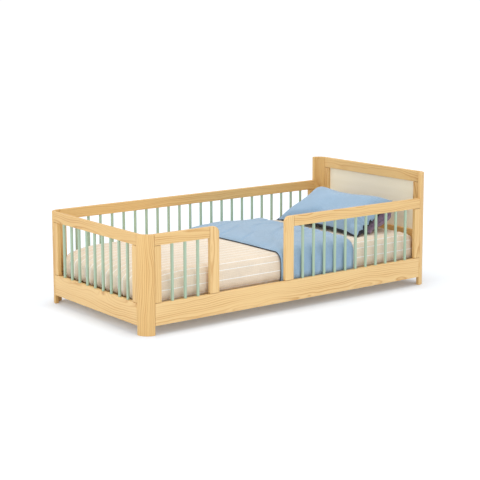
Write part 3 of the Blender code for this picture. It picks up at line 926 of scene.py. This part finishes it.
def flat_unwrap(item):
    """A plain cloth map for a small trim."""
    layer = item.data.uv_layers.new(name="cloth")
    for loop in item.data.loops:
        place = item.data.vertices[loop.vertex_index].co
        layer.data[loop.index].uv = (place.x + place.z, place.y)


def rim_of(columns, rows):
    """The places round the edge of a grid, in order."""
    rim = [(i, 0) for i in range(columns)] + [(columns - 1, j) for j in range(1, rows)]
    rim += [(i, rows - 1) for i in range(columns - 2, -1, -1)]
    return rim + [(0, j) for j in range(rows - 2, 0, -1)]


class RoundedSlab:
    """The mattress's shape: a box with its ends and long edges rolled over by different radii."""

    UNDER_ROLL = 0.38           # an end's roll under the middle, against the one above it

    def __init__(self, low, high, roll, head_roll):
        self.low, self.high = np.array(low), np.array(high)
        self.rolls = np.array(roll), np.array((head_roll, *roll[1:]))

    def at(self, place):
        """The skin's point and its outward normal, for a point on the box's sides."""
        place = np.array(place, float)
        roll = self.rolls[1 if place[0] > 0 else 0].copy()
        middle = (self.low[2] + self.high[2]) / 2
        upper = smooth_step(middle - 0.035, middle + 0.010, place[2])
        roll[0] *= self.UNDER_ROLL + (1 - self.UNDER_ROLL) * upper
        core = np.clip(place, self.low + roll, self.high - roll)
        away = (place - core) / roll
        far = np.linalg.norm(away)
        if far < 1e-9:
            return place, np.array([0.0, 0.0, 1.0])
        out = away / far
        normal = out / roll
        return core + roll * out, normal / np.linalg.norm(normal)


def spread(low, high, step, dense=0.0, finer=1.0):
    """Places from low to high about a step apart, closer together within dense of the ends."""
    places, here = [low], low
    while here < high - 1e-6:
        close = min(here - low, high - here) < dense
        here = min(here + step * (finer if close else 1.0), high)
        places.append(here)
    return places


def slab_shell(name, slab, move, spots, mats, flat_of):
    """Skin of the slab's top and sides, as five sheets of a grid welded together."""
    xs, ys, zs = spots
    bm = bmesh.new()
    layer = bm.loops.layers.uv.new("cloth")
    seen = {}

    def vert(place):
        key = tuple(round(c, 6) for c in place)
        if key not in seen:
            spot, normal = slab.at(place)
            seen[key] = bm.verts.new(move(spot, normal))
        return seen[key]

    def sheet(us, vs, place, side):
        for a, b in zip(us, us[1:]):
            for c, d in zip(vs, vs[1:]):
                corners = [place(a, c), place(b, c), place(b, d), place(a, d)]
                verts = [vert(p) for p in corners]
                if len(set(verts)) < 3:
                    continue
                face = bm.faces.new(verts)
                face.smooth = True
                for loop, corner in zip(face.loops, corners):
                    loop[layer].uv = flat_of(side, corner)

    x0, x1, y0, y1, top = xs[0], xs[-1], ys[0], ys[-1], zs[-1]
    sheet(xs, ys, lambda x, y: (x, y, top), "top")
    sheet(xs, zs, lambda x, z: (x, y0, z), "front")
    sheet(xs[::-1], zs, lambda x, z: (x, y1, z), "back")
    sheet(ys[::-1], zs, lambda y, z: (x0, y, z), "foot")
    sheet(ys, zs, lambda y, z: (x1, y, z), "head")
    return new_object(name, mesh_of(name, bm), mats)


def flat_map(side, place):
    """Where a point of the slab lies on the cloth, which goes on down over the sides."""
    x, y, z = place
    drop = SHEET_HIGH.z - z
    return {"front": (x, SHEET_LOW.y - drop), "back": (x, SHEET_HIGH.y + drop),
            "foot": (SHEET_LOW.x - drop, y), "head": (SHEET_HIGH.x + drop, y)}.get(side, (x, y))


def end_sag(x):
    """The mattress's foot end lies a little lower than its middle."""
    most, starts, full = 0.0075, 0.26, 0.08
    return most * smooth_step(starts, full, x - SHEET_LOW.x)


def bed_top(x, y):
    """How far the sheet's upper face stands above or below its mean level."""
    return 0.0016 * soft_noise(x * 3.1, y * 4.3, 2.0) + 0.0007 * soft_noise(x * 9.0, y * 13.0, 5.0)


class BED_OT_mattress(bpy.types.Operator):
    """Foam mattress with rolled edges, and the striped fitted sheet stretched over it"""
    bl_idname = "bed.mattress"
    bl_label = "Mattress and sheet"

    MATTRESS_ROLL, MATTRESS_HEAD_ROLL = (0.168, 0.042, 0.062), 0.078
    SHEET_ROLL, SHEET_HEAD_ROLL = (0.172, 0.046, 0.066), 0.082
    LOBE_PITCH, LOBE_DEPTH = 0.080, 0.0105         # at the two ends, low down
    SIDE_PITCH, SIDE_DEPTH = 0.079, 0.0026         # gathers of the long sides
    FOLDS = ((0.55, -0.175), (0.95, -0.115))       # slope and start of the front side's pulls

    def execute(self, context):
        settings = context.scene.bed
        self.mattress(cloth(settings, "mattress_ticking", (0.86, 0.83, 0.76), 0.1))
        self.sheet(settings)
        return {"FINISHED"}

    def mattress(self, cover):
        inset = Vector((0.003, 0.003, 0.0))
        low, high = MATTRESS_LOW + inset, MATTRESS_HIGH - inset - Vector((0, 0, 0.002))
        bm = box_mesh(low, high)
        for axis, count in ((0, 60), (1, 28), (2, 6)):
            size = high[axis] - low[axis]
            for i in range(1, count):
                spot, normal = Vector((0, 0, 0)), Vector((0, 0, 0))
                spot[axis], normal[axis] = low[axis] + size * i / count, 1.0
                geometry = bm.verts[:] + bm.edges[:] + bm.faces[:]
                bmesh.ops.bisect_plane(bm, geom=geometry, plane_co=spot, plane_no=normal,
                                       dist=1e-6)
        slab = RoundedSlab(low, high, self.MATTRESS_ROLL, self.MATTRESS_HEAD_ROLL)
        for vert in bm.verts:
            spot = Vector(slab.at(vert.co)[0])
            sag = end_sag(spot.x) * smooth_step(low.z, high.z, spot.z)
            vert.co = spot - Vector((0, 0, sag))
        layer = bm.loops.layers.uv.new("cloth")
        for face in bm.faces:
            face.smooth = True
            for loop in face.loops:
                loop[layer].uv = (loop.vert.co.x, loop.vert.co.y + loop.vert.co.z)
        item = new_object("mattress_foam", mesh_of("mattress_foam", bm), [cover])
        finish_piece(item, "mattress_ticking", "mattress")

    def lift(self, spot, normal, hem):
        """How far the sheet stands off the smooth slab: lobes, gathers, pulls and wrinkles."""
        x, y, z = spot
        deep = smooth_step(SHEET_HIGH.z - 0.02, hem, z)
        end = min(x - SHEET_LOW.x, SHEET_HIGH.x - x)
        on_side = abs(normal[1]) > abs(normal[0])
        along = x if on_side else y
        lift, turn = bed_top(x, y), along * 2 * math.pi
        if abs(normal[0]) > abs(normal[1]):
            lobes = 0.5 - 0.5 * math.cos(turn / self.LOBE_PITCH)
            ripples = math.sin(turn / 0.023 + 2.0 * soft_noise(along * 9.0, z * 6.0, 4.0))
            lift += deep * self.LOBE_DEPTH * (lobes - 0.25) + deep * 0.0012 * ripples
        else:
            gathers = math.sin(turn / self.SIDE_PITCH
                               + 2.2 * soft_noise(along * 6.0, z * 3.0, 7.0))
            at_end = smooth_step(0.30, 0.0, end)
            lift += deep * deep * self.SIDE_DEPTH * gathers * (0.35 + 0.65 * at_end)
        if y < 0 and abs(normal[1]) > 0.6 and -0.20 < x < 0.0:
            for slope, start in self.FOLDS:
                fold = (z - 0.160) - slope * (x - start)
                lift -= 0.0022 * math.exp(-(fold / 0.005) ** 2) * smooth_step(0.225, 0.185, z)
        lift += deep * 0.0030 * soft_noise(along * 11.0 + z * 14.0, z * 5.0, 9.0)
        side = min(y - SHEET_LOW.y, SHEET_HIGH.y - y)
        corner = smooth_step(0.26, 0.02, math.hypot(end, side))
        pull = (x - y) * 2 * math.pi / 0.047 + 3.0 * soft_noise(x * 5.0, y * 5.0, 3.0)
        return lift + corner * 0.0016 * math.sin(pull)

    def sheet(self, settings):
        low = Vector((SHEET_LOW.x, SHEET_LOW.y, MATTRESS_LOW.z))
        slab = RoundedSlab(low, SHEET_HIGH, self.SHEET_ROLL, self.SHEET_HEAD_ROLL)
        hem = SHEET_LOW.z + 0.002

        def move(spot, normal):
            sag = end_sag(spot[0]) * smooth_step(SHEET_LOW.z, SHEET_HIGH.z, spot[2])
            off = Vector(normal) * self.lift(spot, normal, hem)
            return Vector(spot) + off - Vector((0, 0, sag))

        spots = (spread(low.x, SHEET_HIGH.x, 0.013, 0.20, 0.5),
                 spread(low.y, SHEET_HIGH.y, 0.011, 0.10, 0.6), spread(hem, SHEET_HIGH.z, 0.008))
        item = slab_shell("fitted_sheet_cloth", slab, move, spots, [striped_cloth(settings)],
                          flat_map)
        thick = item.modifiers.new("thickness", "SOLIDIFY")
        thick.thickness, thick.offset = 0.0010, -1.0
        finish_piece(item, "striped_sheet", "fitted_sheet")


# ---------------------------------------------------------------- duvet
def closed_quilt(name, outer, inner, columns, rows, flat, mats):
    """Closed quilt from an upper and an under skin; its rim takes the second cloth."""
    skins = [[skin(i, j) for j in range(rows) for i in range(columns)] for skin in (outer, inner)]
    count = columns * rows
    faces, cloths = [], []
    for j in range(rows - 1):
        for i in range(columns - 1):
            a, b = j * columns + i, j * columns + i + 1
            quad = (a, b, b + columns, a + columns)
            faces += [quad, tuple(count + k for k in reversed(quad))]
            cloths += [0, 1]
    rim = rim_of(columns, rows)
    for (i, j), (k, m) in zip(rim, rim[1:] + rim[:1]):
        a, b = j * columns + i, m * columns + k
        faces.append((b, a, count + a, count + b))
        cloths.append(1)
    mesh = mesh_from(name, skins[0] + skins[1], faces=faces)
    layer = mesh.uv_layers.new(name="cloth")
    for loop in mesh.loops:
        here = loop.vertex_index % count
        layer.data[loop.index].uv = flat(here % columns, here // columns)
    mesh.polygons.foreach_set("material_index", cloths)
    mesh.shade_smooth()
    return new_object(name, mesh, mats), rim


class Duvet:
    """The folded duvet: where it lies on the sheet, and how thick it is at each point."""
    THIN, FOLD, PUFF, SIDE = 0.0045, 0.0135, 0.030, 0.0158
    OFF_SHEET = 0.0026          # how far its under side stays off the sheet's box
    MOST_SIDE = 0.0170
    ROLL, HEAD_ROLL = (0.085, 0.047, 0.052), 0.085
    EDGE_WANDER = 0.0035
    BULGE = 0.0068              # between the guard's spindles, low on the drop

    def __init__(self):
        low = Vector((SHEET_LOW.x, SHEET_LOW.y - self.OFF_SHEET, MATTRESS_LOW.z))
        high = SHEET_HIGH + Vector((0.0, self.OFF_SHEET, 0.0024))
        self.slab = RoundedSlab(low, high, self.ROLL, self.HEAD_ROLL)
        self.front_hem, back_hem = DUVET_LOW.z + 0.004, 0.203
        self.front, self.back, self.top = low.y, high.y, high.z
        self.front_drop = self.top - self.front_hem
        self.across = self.back - self.front
        self.total = self.front_drop + self.across + self.top - back_hem
        self.foot, self.head = DUVET_LOW.x + 0.003, DUVET_HIGH.x - 0.003
        low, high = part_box("long_guard_spindles")
        self.rod = low.x + 0.008
        self.rod_pitch = (high.x - low.x - 0.016) / (ROWS["long_guard_spindles"] - 1)

    def base(self, x, s):
        """Point on the sheet at x and at the distance s from the front hem over the bed."""
        if s < self.front_drop:
            place = (x, self.front, self.front_hem + s)
        elif s < self.front_drop + self.across:
            place = (x, self.front + s - self.front_drop, self.top)
        else:
            place = (x, self.back, self.top - (s - self.front_drop - self.across))
        return self.slab.at(place)

    def edge_x(self, share, s):
        """The two cut edges wander a little."""
        wander = self.EDGE_WANDER * soft_noise(s * 3.0, 4.0, 1.0)
        return self.foot + wander + (self.head - self.foot - 0.002 - wander) * share

    def thickness(self, share, s, x):
        front, back = s - self.front_drop, self.front_drop + self.across - s
        on_top = smooth_step(-0.02, 0.09, front) * smooth_step(-0.02, 0.09, back)
        crown = math.sin(math.pi * min(max(share, 0.0), 1.0) ** 0.85) ** 0.7
        crown *= 0.80 + 0.20 * math.sin(math.pi * min(max(front / self.across, 0), 1))
        thick = self.SIDE + on_top * (self.PUFF * crown - 0.002)
        thick += smooth_step(0.80, 1.0, share) * on_top * self.FOLD
        crease = abs(soft_noise(x * 2.4 + front * 1.6, front * 7.0 - x * 3.0, 3.0))
        thick -= on_top * 0.0065 * (1.0 - smooth_step(0.0, 0.16, crease))
        thick += on_top * 0.0045 * soft_noise(x * 6.0, front * 5.0, 8.0)
        hang = (1 - on_top) * smooth_step(0.03, -0.10, min(front, back))
        waves = x * 2 * math.pi / 0.118 + 2.0 * soft_noise(x * 5.0, s * 2.0, 6.0)
        thick += hang * 0.0026 * math.sin(waves)
        if on_top < 0.02:
            thick = min(thick, self.MOST_SIDE)
        between = 0.5 - 0.5 * math.cos(2 * math.pi * (x - self.rod) / self.rod_pitch)
        low_down = smooth_step(0.026, 0.050, s) * smooth_step(0.115, 0.065, s)
        thick += self.BULGE * between * low_down
        width = self.head - self.foot
        hem_in = min(s, self.total - s)
        for away, reach in ((share * width, 0.030), ((1 - share) * width, 0.026),
                            (hem_in, 0.012)):
            t = min(away / reach, 1.0)
            rounded = math.sqrt(max(0.0, 1 - (1 - t) ** 2))
            thick = self.THIN + (thick - self.THIN) * rounded
        return thick


class BED_OT_duvet(bpy.types.Operator):
    """Folded duvet across the bed, blue above and dark below, with a corded and stitched edge"""
    bl_idname = "bed.duvet"
    bl_label = "Duvet"

    def execute(self, context):
        settings = context.scene.bed
        blue = cloth(settings, "duvet_blue", settings.finishes.blue, 0.3)
        navy_and_shade = cloth(settings, "duvet_dark", settings.finishes.navy_and_shade, 0.1)
        duvet = Duvet()
        columns, rows, inset = 84, 190, 4
        shares = [i / (columns - 1) for i in range(columns)]
        shares = [0.6 * (0.5 - 0.5 * math.cos(math.pi * t)) + 0.4 * t for t in shares]
        runs = [duvet.total * j / (rows - 1) for j in range(rows)]

        def skin(i, j, lift):
            x = duvet.edge_x(shares[i], runs[j])
            spot, normal = duvet.base(x, runs[j])
            thick = lift * duvet.thickness(shares[i], runs[j], x) + 0.0004
            return Vector(spot) + Vector(normal) * thick

        item, rim = closed_quilt("duvet_cloth", lambda i, j: skin(i, j, 1.0),
                                 lambda i, j: skin(i, j, 0.0), columns, rows,
                                 lambda i, j: (shares[i] * 0.53, runs[j]), [blue, navy_and_shade])
        finish_piece(item, "blue_cloth", "duvet")
        edge = [(skin(i, j, 1.0) + skin(i, j, 0.0)) / 2 for i, j in rim]
        # The near-black cord along the duvet's edge is partly dark piping and partly a painted
        # shadow line.
        cord = grown("duvet_edge_cord", once("cord tree", cord_tree), {
            "Radius": settings.sizes.piping * 0.8, "Sides": 8, "Cover": navy_and_shade},
            line_mesh("edge", [edge]))
        flat_unwrap(cord)
        finish_piece(shaded(cord), "blue_cloth")
        hems = [[skin(i, j, 1.0) for j in range(inset, rows - inset)]
                for i in (inset, columns - 1 - inset)]
        pale = tuple(min(1.0, c * 1.25) for c in settings.finishes.blue)
        stitches = grown("duvet_stitches", stitch_tree(), {
            "Spacing": settings.sizes.stitch * 1.6, "Length": settings.sizes.stitch,
            "Thickness": 0.0007, "Thread": cloth(settings, "thread_pale", pale, 0.1)},
            line_mesh("hem", hems, False))
        flat_unwrap(stitches)
        finish_piece(shaded(stitches, 80), "blue_cloth")
        return {"FINISHED"}


# ---------------------------------------------------------------- pillows
class Pillow:
    """A stuffed case of two panels sewn all round, blown up flat and then laid in its place."""
    STEP = 0.0105               # size of the panels' quads
    FRAMES, PRESSURE, MOST_MOVE = 22, 5.0, 0.030
    TUCK = 0.016                # how far the under panel draws in at its low and near edges
    NEAR_DROP, LOW_DROP = 0.014, 0.006

    def __init__(self, name, size, puff, mats, seed):
        self.name, self.size, self.puff, self.mats, self.seed = name, size, puff, mats, seed
        self.columns, self.rows = int(size[0] / self.STEP) + 1, int(size[1] / self.STEP) + 1

    def flat_points(self):
        """The two panels before filling: the outline draws in a little between its corners."""
        points = []
        for sign in (1, -1):
            for j in range(self.rows):
                for i in range(self.columns):
                    a, b = 2 * i / (self.columns - 1) - 1, 2 * j / (self.rows - 1) - 1
                    draw_a, draw_b = 1 - 0.050 * (1 - b * b), 1 - 0.070 * (1 - a * a)
                    rise = self.puff * (1 - 0.22 * a)
                    rise *= ((1 - a ** 2) * (1 - b ** 2)) ** (0.36 + 0.08 * a)
                    rise *= 1 + 0.16 * soft_noise(a * 2.0, b * 2.0, self.seed)
                    points.append((a * self.size[0] / 2 * draw_a, b * self.size[1] / 2 * draw_b,
                                   sign * rise))
        return points

    def sewn(self, points):
        """Mesh of both panels; the under panel shares the upper one's rim."""
        count = self.columns * self.rows
        rim = [j * self.columns + i for i, j in rim_of(self.columns, self.rows)]
        shared = {count + k: k for k in rim}
        faces, cloths = [], []
        for j in range(self.rows - 1):
            for i in range(self.columns - 1):
                a, b = j * self.columns + i, j * self.columns + i + 1
                quad = (a, b, b + self.columns, a + self.columns)
                faces.append(quad)
                faces.append(tuple(shared.get(count + k, count + k) for k in reversed(quad)))
                cloths += [0, 1]
        used = sorted({k for face in faces for k in face})
        place = {k: n for n, k in enumerate(used)}
        mesh = mesh_from(self.name, [points[k] for k in used],
                         faces=[tuple(place[k] for k in f) for f in faces])
        layer = mesh.uv_layers.new(name="cloth")
        for loop in mesh.loops:
            k = used[loop.vertex_index] % count
            layer.data[loop.index].uv = (k % self.columns / (self.columns - 1) * self.size[0],
                                         k // self.columns / (self.rows - 1) * self.size[1])
        mesh.polygons.foreach_set("material_index", cloths)
        mesh.shade_smooth()
        return mesh, [place[k] for k in rim]

    def fill(self, item):
        """Blow the case up as cloth, and cap how far each point may go."""
        before = coordinates(item.data)
        step = item.modifiers.new("filling", "CLOTH")
        for key, value in (("quality", 6), ("mass", 0.2), ("tension_stiffness", 20),
                           ("compression_stiffness", 20), ("shear_stiffness", 8),
                           ("bending_stiffness", 0.35), ("use_pressure", True),
                           ("uniform_pressure_force", self.PRESSURE)):
            setattr(step.settings, key, value)
        step.settings.effector_weights.gravity = 0.0
        step.point_cache.frame_start, step.point_cache.frame_end = 1, self.FRAMES
        scene = bpy.context.scene
        for number in range(1, self.FRAMES + 1):
            scene.frame_set(number)
        evaluated = item.evaluated_get(bpy.context.evaluated_depsgraph_get())
        after = coordinates(evaluated.to_mesh())
        evaluated.to_mesh_clear()
        item.modifiers.remove(step)
        scene.frame_set(1)
        move = after - before
        far = np.linalg.norm(move, axis=1)
        cap = self.MOST_MOVE
        move *= (cap * np.tanh(far / cap) / np.maximum(far, 1e-9))[:, None]
        item.data.vertices.foreach_set("co", (before + move).ravel())
        item.data.update()

    def lay(self, item, near, far, middle_y, rest):
        """Bend the flat case along two lines in the side view, one at its near end and one at
        its far end, then press it on what it rests on."""
        near, far = np.array(near), np.array(far)
        places = coordinates(item.data)
        laid = np.zeros_like(places)
        for k, (a, b, c) in enumerate(places):
            share, low_share = a / self.size[0], b / self.size[1]
            line = far + (near - far) * (0.5 - share)
            steps = np.linalg.norm(np.diff(line, axis=0), axis=1)
            runs = np.concatenate([[0], np.cumsum(steps)])
            s = (low_share + 0.5) * runs[-1]
            if c < 0:
                tuck = self.TUCK * min(-c / 0.016, 1.0)
                s -= tuck * smooth_step(-0.30, -0.46, low_share)
                a -= tuck * smooth_step(-0.34, -0.48, share)
            ends = [np.array([np.interp(t, runs, line[:, 0]), np.interp(t, runs, line[:, 1])])
                    for t in (s - 0.03, s, s + 0.03)]
            slope = (ends[2] - ends[0]) / np.linalg.norm(ends[2] - ends[0])
            c += self.gathers(a, b) * (1 if c >= 0 else -1)
            c -= self.NEAR_DROP * smooth_step(-0.34, -0.50, a / self.size[0])
            c -= self.LOW_DROP * smooth_step(-0.34, -0.50, low_share)
            laid[k] = rest(np.array([ends[1][0] - slope[1] * c, middle_y + a,
                                     ends[1][1] + slope[0] * c]))
        item.data.vertices.foreach_set("co", laid.ravel())
        item.data.update()

    def gathers(self, a, b):
        """Creases that run out from the near end's middle, and short pulls along the seams."""
        end, side = a + self.size[0] / 2 - 0.025, b + 0.085
        away, turn = math.hypot(end, side), math.atan2(side, end)
        depth = 0.0130 * math.exp(-(away / 0.10) ** 2) * min(away / 0.03, 1.0)
        wave = math.sin(9 * turn + 3.0 * soft_noise(a * 8.0, b * 8.0, self.seed))
        edge = min(self.size[0] / 2 - abs(a), self.size[1] / 2 - abs(b))
        lift = depth * (wave - 0.2) * (0.25 + 0.75 * smooth_step(0.0, 0.04, edge))
        pull = math.sin((a + b) * 2 * math.pi / 0.034
                        + 3.0 * soft_noise(a * 7.0, b * 7.0, self.seed + 2.0))
        on_seam = smooth_step(0.07, 0.02, edge) * smooth_step(0.0, 0.015, edge)
        return lift + 0.0012 * pull * on_seam


# The side view of the slope between the two pillows: x and height.
LEAN = ((0.600, 0.3092), (0.655, 0.3360), (0.690, 0.3580), (0.770, 0.4070), (0.840, 0.4580),
        (0.930, 0.5300))


def press_up(value, floor):
    """The value kept above a floor, eased in over a short distance."""
    soft, free = 0.006, 8
    gap = (value - floor) / soft
    if gap > free:
        return value
    return floor + soft * math.log1p(math.exp(gap))


def lean_line(x):
    """Height at which the blue pillow's back lies on the mauve one, at x."""
    return float(np.interp(x, *zip(*LEAN)))


class BED_OT_pillows(bpy.types.Operator):
    """Mauve pillow against the headboard, and a blue one leaning on it"""
    bl_idname = "bed.pillows"
    bl_label = "Pillows"

    def execute(self, context):
        settings = context.scene.bed
        finishes = settings.finishes
        blue = cloth(settings, "pillow_blue", finishes.blue, 0.3)
        navy_and_shade = cloth(settings, "pillow_dark", finishes.navy_and_shade, 0.1)
        mauve = cloth(settings, "pillow_mauve", finishes.mauve, 0.25)
        bed = SHEET_HIGH.z + 0.0035
        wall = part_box("head_lower_board")[0].x - 0.004

        def rest_blue(spot):
            spot[2] = press_up(spot[2], max(bed, lean_line(spot[0])))
            return spot

        def rest_mauve(spot):
            spot[2] = press_up(spot[2], bed)
            spot[2] = -press_up(-spot[2], -(max(lean_line(spot[0]) - 0.006, bed + 0.004)))
            spot[0] = -press_up(-spot[0], -wall)
            return spot

        self.make(settings, "blue_pillow", "blue_cloth", Pillow(
            "blue_pillow_case", (0.700, 0.470), 0.038, [blue, navy_and_shade], 3.0),
            [(0.541, 0.321), (0.616, 0.359), (0.697, 0.408), (0.765, 0.461), (0.826, 0.506)],
            [(0.480, 0.326), (0.563, 0.371), (0.665, 0.425), (0.767, 0.470), (0.862, 0.498)],
            -0.022, rest_blue)
        self.make(settings, "mauve_pillow", "mauve_cloth", Pillow(
            "mauve_pillow_case", (0.645, 0.430), 0.034, [mauve, mauve], 7.0),
            [(0.655, 0.333), (0.710, 0.347), (0.765, 0.366), (0.812, 0.392), (0.838, 0.425)],
            [(0.648, 0.330), (0.740, 0.352), (0.840, 0.372), (0.915, 0.405), (0.945, 0.448)],
            -0.020, rest_mauve)
        return {"FINISHED"}

    def make(self, settings, node, slot, case, near, far, middle_y, rest):
        mesh, seam = case.sewn(case.flat_points())
        item = new_object(case.name, mesh, case.mats)
        case.fill(item)
        case.lay(item, near, far, middle_y, rest)
        seam = [item.data.vertices[k].co.copy() for k in seam]
        smoother = item.modifiers.new("finer", "SUBSURF")
        smoother.levels = smoother.render_levels = 1
        finish_piece(item, slot, node)
        # The cord is in the under cloth along the low edge and a way up both ends. The low cord is
        # thicker and near-black: partly the dark cloth, partly a painted shadow of the gap under
        # the pillow.
        rise = int(case.rows * 0.30)
        seam = seam[-rise:] + seam[:-rise]
        low = case.columns + 2 * rise
        piping = settings.sizes.piping
        for part, path, dye, radius in (
                ("_under_piping", seam[:low], case.mats[1], piping * 1.25),
                ("_piping", seam[low - 1:] + seam[:1], case.mats[0], piping)):
            cord = grown(case.name + part, once("cord tree", cord_tree), {
                "Radius": radius, "Sides": 8, "Cover": dye}, line_mesh("seam", [path], False))
            flat_unwrap(cord)
            finish_piece(shaded(cord), slot)


# ---------------------------------------------------------------- stage
# Each light's place, what it is aimed at, its diameter and its watts.
LIGHTS = {
    "light_above": ((0.3, 0.3, 4.6), (0.0, 0.0, 0.2), 4.0, 86.0),
    "light_front": ((-1.0, -5.4, 2.2), (0.0, 0.0, 0.3), 2.6, 44.0),
    "light_foot": ((-5.4, -0.6, 2.6), (0.6, 0.0, 0.4), 2.2, 50.0),
}
LIT_WORLD, SEEN_WORLD = 0.74, 1.05          # how bright the surroundings light and look
# Under the bed the floor's glow is painted light that lightens the bed's shadow; far away it meets
# the white behind.
FLOOR_NEAR, FLOOR_FAR = 0.10, 0.40          # the floor's own glow, under the bed and far away
CAMERA_PLACE = (-4.3205, -5.6498, 1.6774)
CAMERA_TURN, CAMERA_TILT, CAMERA_ROLL = 37.247, 8.769, -0.09            # degrees
LENS, LENS_SHIFT = 95.30, -0.0995


def area_light(name, place, aim, size, watts):
    light = bpy.data.lights.new(name, "AREA")
    light.shape, light.size, light.energy = "DISK", size, watts
    item = new_object(name, light)
    item.location = place
    item.rotation_euler = (Vector(aim) - Vector(place)).to_track_quat("-Z", "Y").to_euler()


class BED_OT_stage(bpy.types.Operator):
    """Pale floor, soft studio light and the camera"""
    bl_idname = "bed.stage"
    bl_label = "Stage"

    def execute(self, context):
        scene = context.scene
        self.floor()
        self.sky(scene)
        for name, (place, aim, size, watts) in LIGHTS.items():
            area_light(name, place, aim, size, watts)
        self.camera(scene)
        return {"FINISHED"}

    def floor(self):
        """Pale floor with a glow that grows brighter away from the bed, to meet the white behind
        it. Its faint blue shows only in the bed's shadow: a painted cool shade.
        """
        half = 60.0
        corners = [(-half, -half, 0), (half, -half, 0), (half, half, 0), (-half, half, 0)]
        made = Finish("floor_white")
        w = made.wires
        far = w.vector("LENGTH", w.add("ShaderNodeTexCoord").outputs["Object"])
        made.sets(Base_Color=(0.86, 0.915, 0.99, 1.0), Roughness=0.85, Specular_IOR_Level=0.1,
                  Emission_Color=(1.0, 1.0, 1.0, 1.0),
                  Emission_Strength=w.remap(far, 1.0, 5.0, FLOOR_NEAR, FLOOR_FAR, True))
        mesh = mesh_from("floor", corners, faces=[(0, 1, 2, 3)])
        new_object("floor", mesh, [made.material])

    def sky(self, scene):
        """Even white surroundings: pure white behind the bed, softer where they light it."""
        world = bpy.data.worlds.new("studio")
        scene.world = world
        world.use_nodes = True
        world.node_tree.nodes.clear()
        w = Wiring(world.node_tree)
        seen = w.add("ShaderNodeLightPath").outputs["Is Camera Ray"]
        strength = w.remap(seen, 0.0, 1.0, LIT_WORLD, SEEN_WORLD)
        shine = w.add("ShaderNodeBackground", {"Color": (1, 1, 1, 1), "Strength": strength})
        w.add("ShaderNodeOutputWorld", {"Surface": shine.outputs[0]})
        scene.view_settings.view_transform = "Standard"

    def camera(self, scene):
        lens = bpy.data.cameras.new("camera")
        lens.sensor_width, lens.lens, lens.shift_y = 36.0, LENS, LENS_SHIFT
        lens.clip_end = 200.0
        item = new_object("camera", lens)
        turn, tilt, roll = [math.radians(a) for a in (CAMERA_TURN, CAMERA_TILT, CAMERA_ROLL)]
        ahead = Vector((math.sin(turn) * math.cos(tilt), math.cos(turn) * math.cos(tilt),
                        -math.sin(tilt)))
        item.location = CAMERA_PLACE
        item.rotation_euler = ahead.to_track_quat("-Z", "Y").to_matrix().to_4x4().to_euler()
        item.rotation_euler.rotate_axis("Z", roll)
        scene.camera = item


# ---------------------------------------------------------------- panel and registration
OPERATORS = (BED_OT_frame, BED_OT_spindles, BED_OT_panel, BED_OT_support, BED_OT_metal,
             BED_OT_mattress, BED_OT_duvet, BED_OT_pillows, BED_OT_stage)


class BED_PT_build(bpy.types.Panel):
    """Buttons that build the bed's pieces, and their settings"""
    bl_idname = "BED_PT_build"
    bl_label = "Low child's bed"
    bl_space_type = "VIEW_3D"
    bl_region_type = "UI"
    bl_category = "Child's bed"

    def draw(self, context):
        layout = self.layout
        for operator in OPERATORS:
            layout.operator(operator.bl_idname)
        for group in (context.scene.bed.finishes, context.scene.bed.sizes):
            box = layout.box()
            for key in group.bl_rna.properties.keys():
                if key not in ("rna_type", "name"):
                    box.prop(group, key)


CLASSES = (BedFinishes, BedSizes, BedSettings, *OPERATORS, BED_PT_build)


def register():
    for one in CLASSES:
        bpy.utils.register_class(one)
    bpy.types.Scene.bed = bpy.props.PointerProperty(type=BedSettings)


def unregister():
    del bpy.types.Scene.bed
    for one in reversed(CLASSES):
        bpy.utils.unregister_class(one)


def main():
    register()
    bpy.ops.bed.frame()
    bpy.ops.bed.spindles()
    bpy.ops.bed.panel()
    bpy.ops.bed.support()
    bpy.ops.bed.metal()
    bpy.ops.bed.mattress()
    bpy.ops.bed.duvet()
    bpy.ops.bed.pillows()
    bpy.ops.bed.stage()


if __name__ == "__main__":
    main()
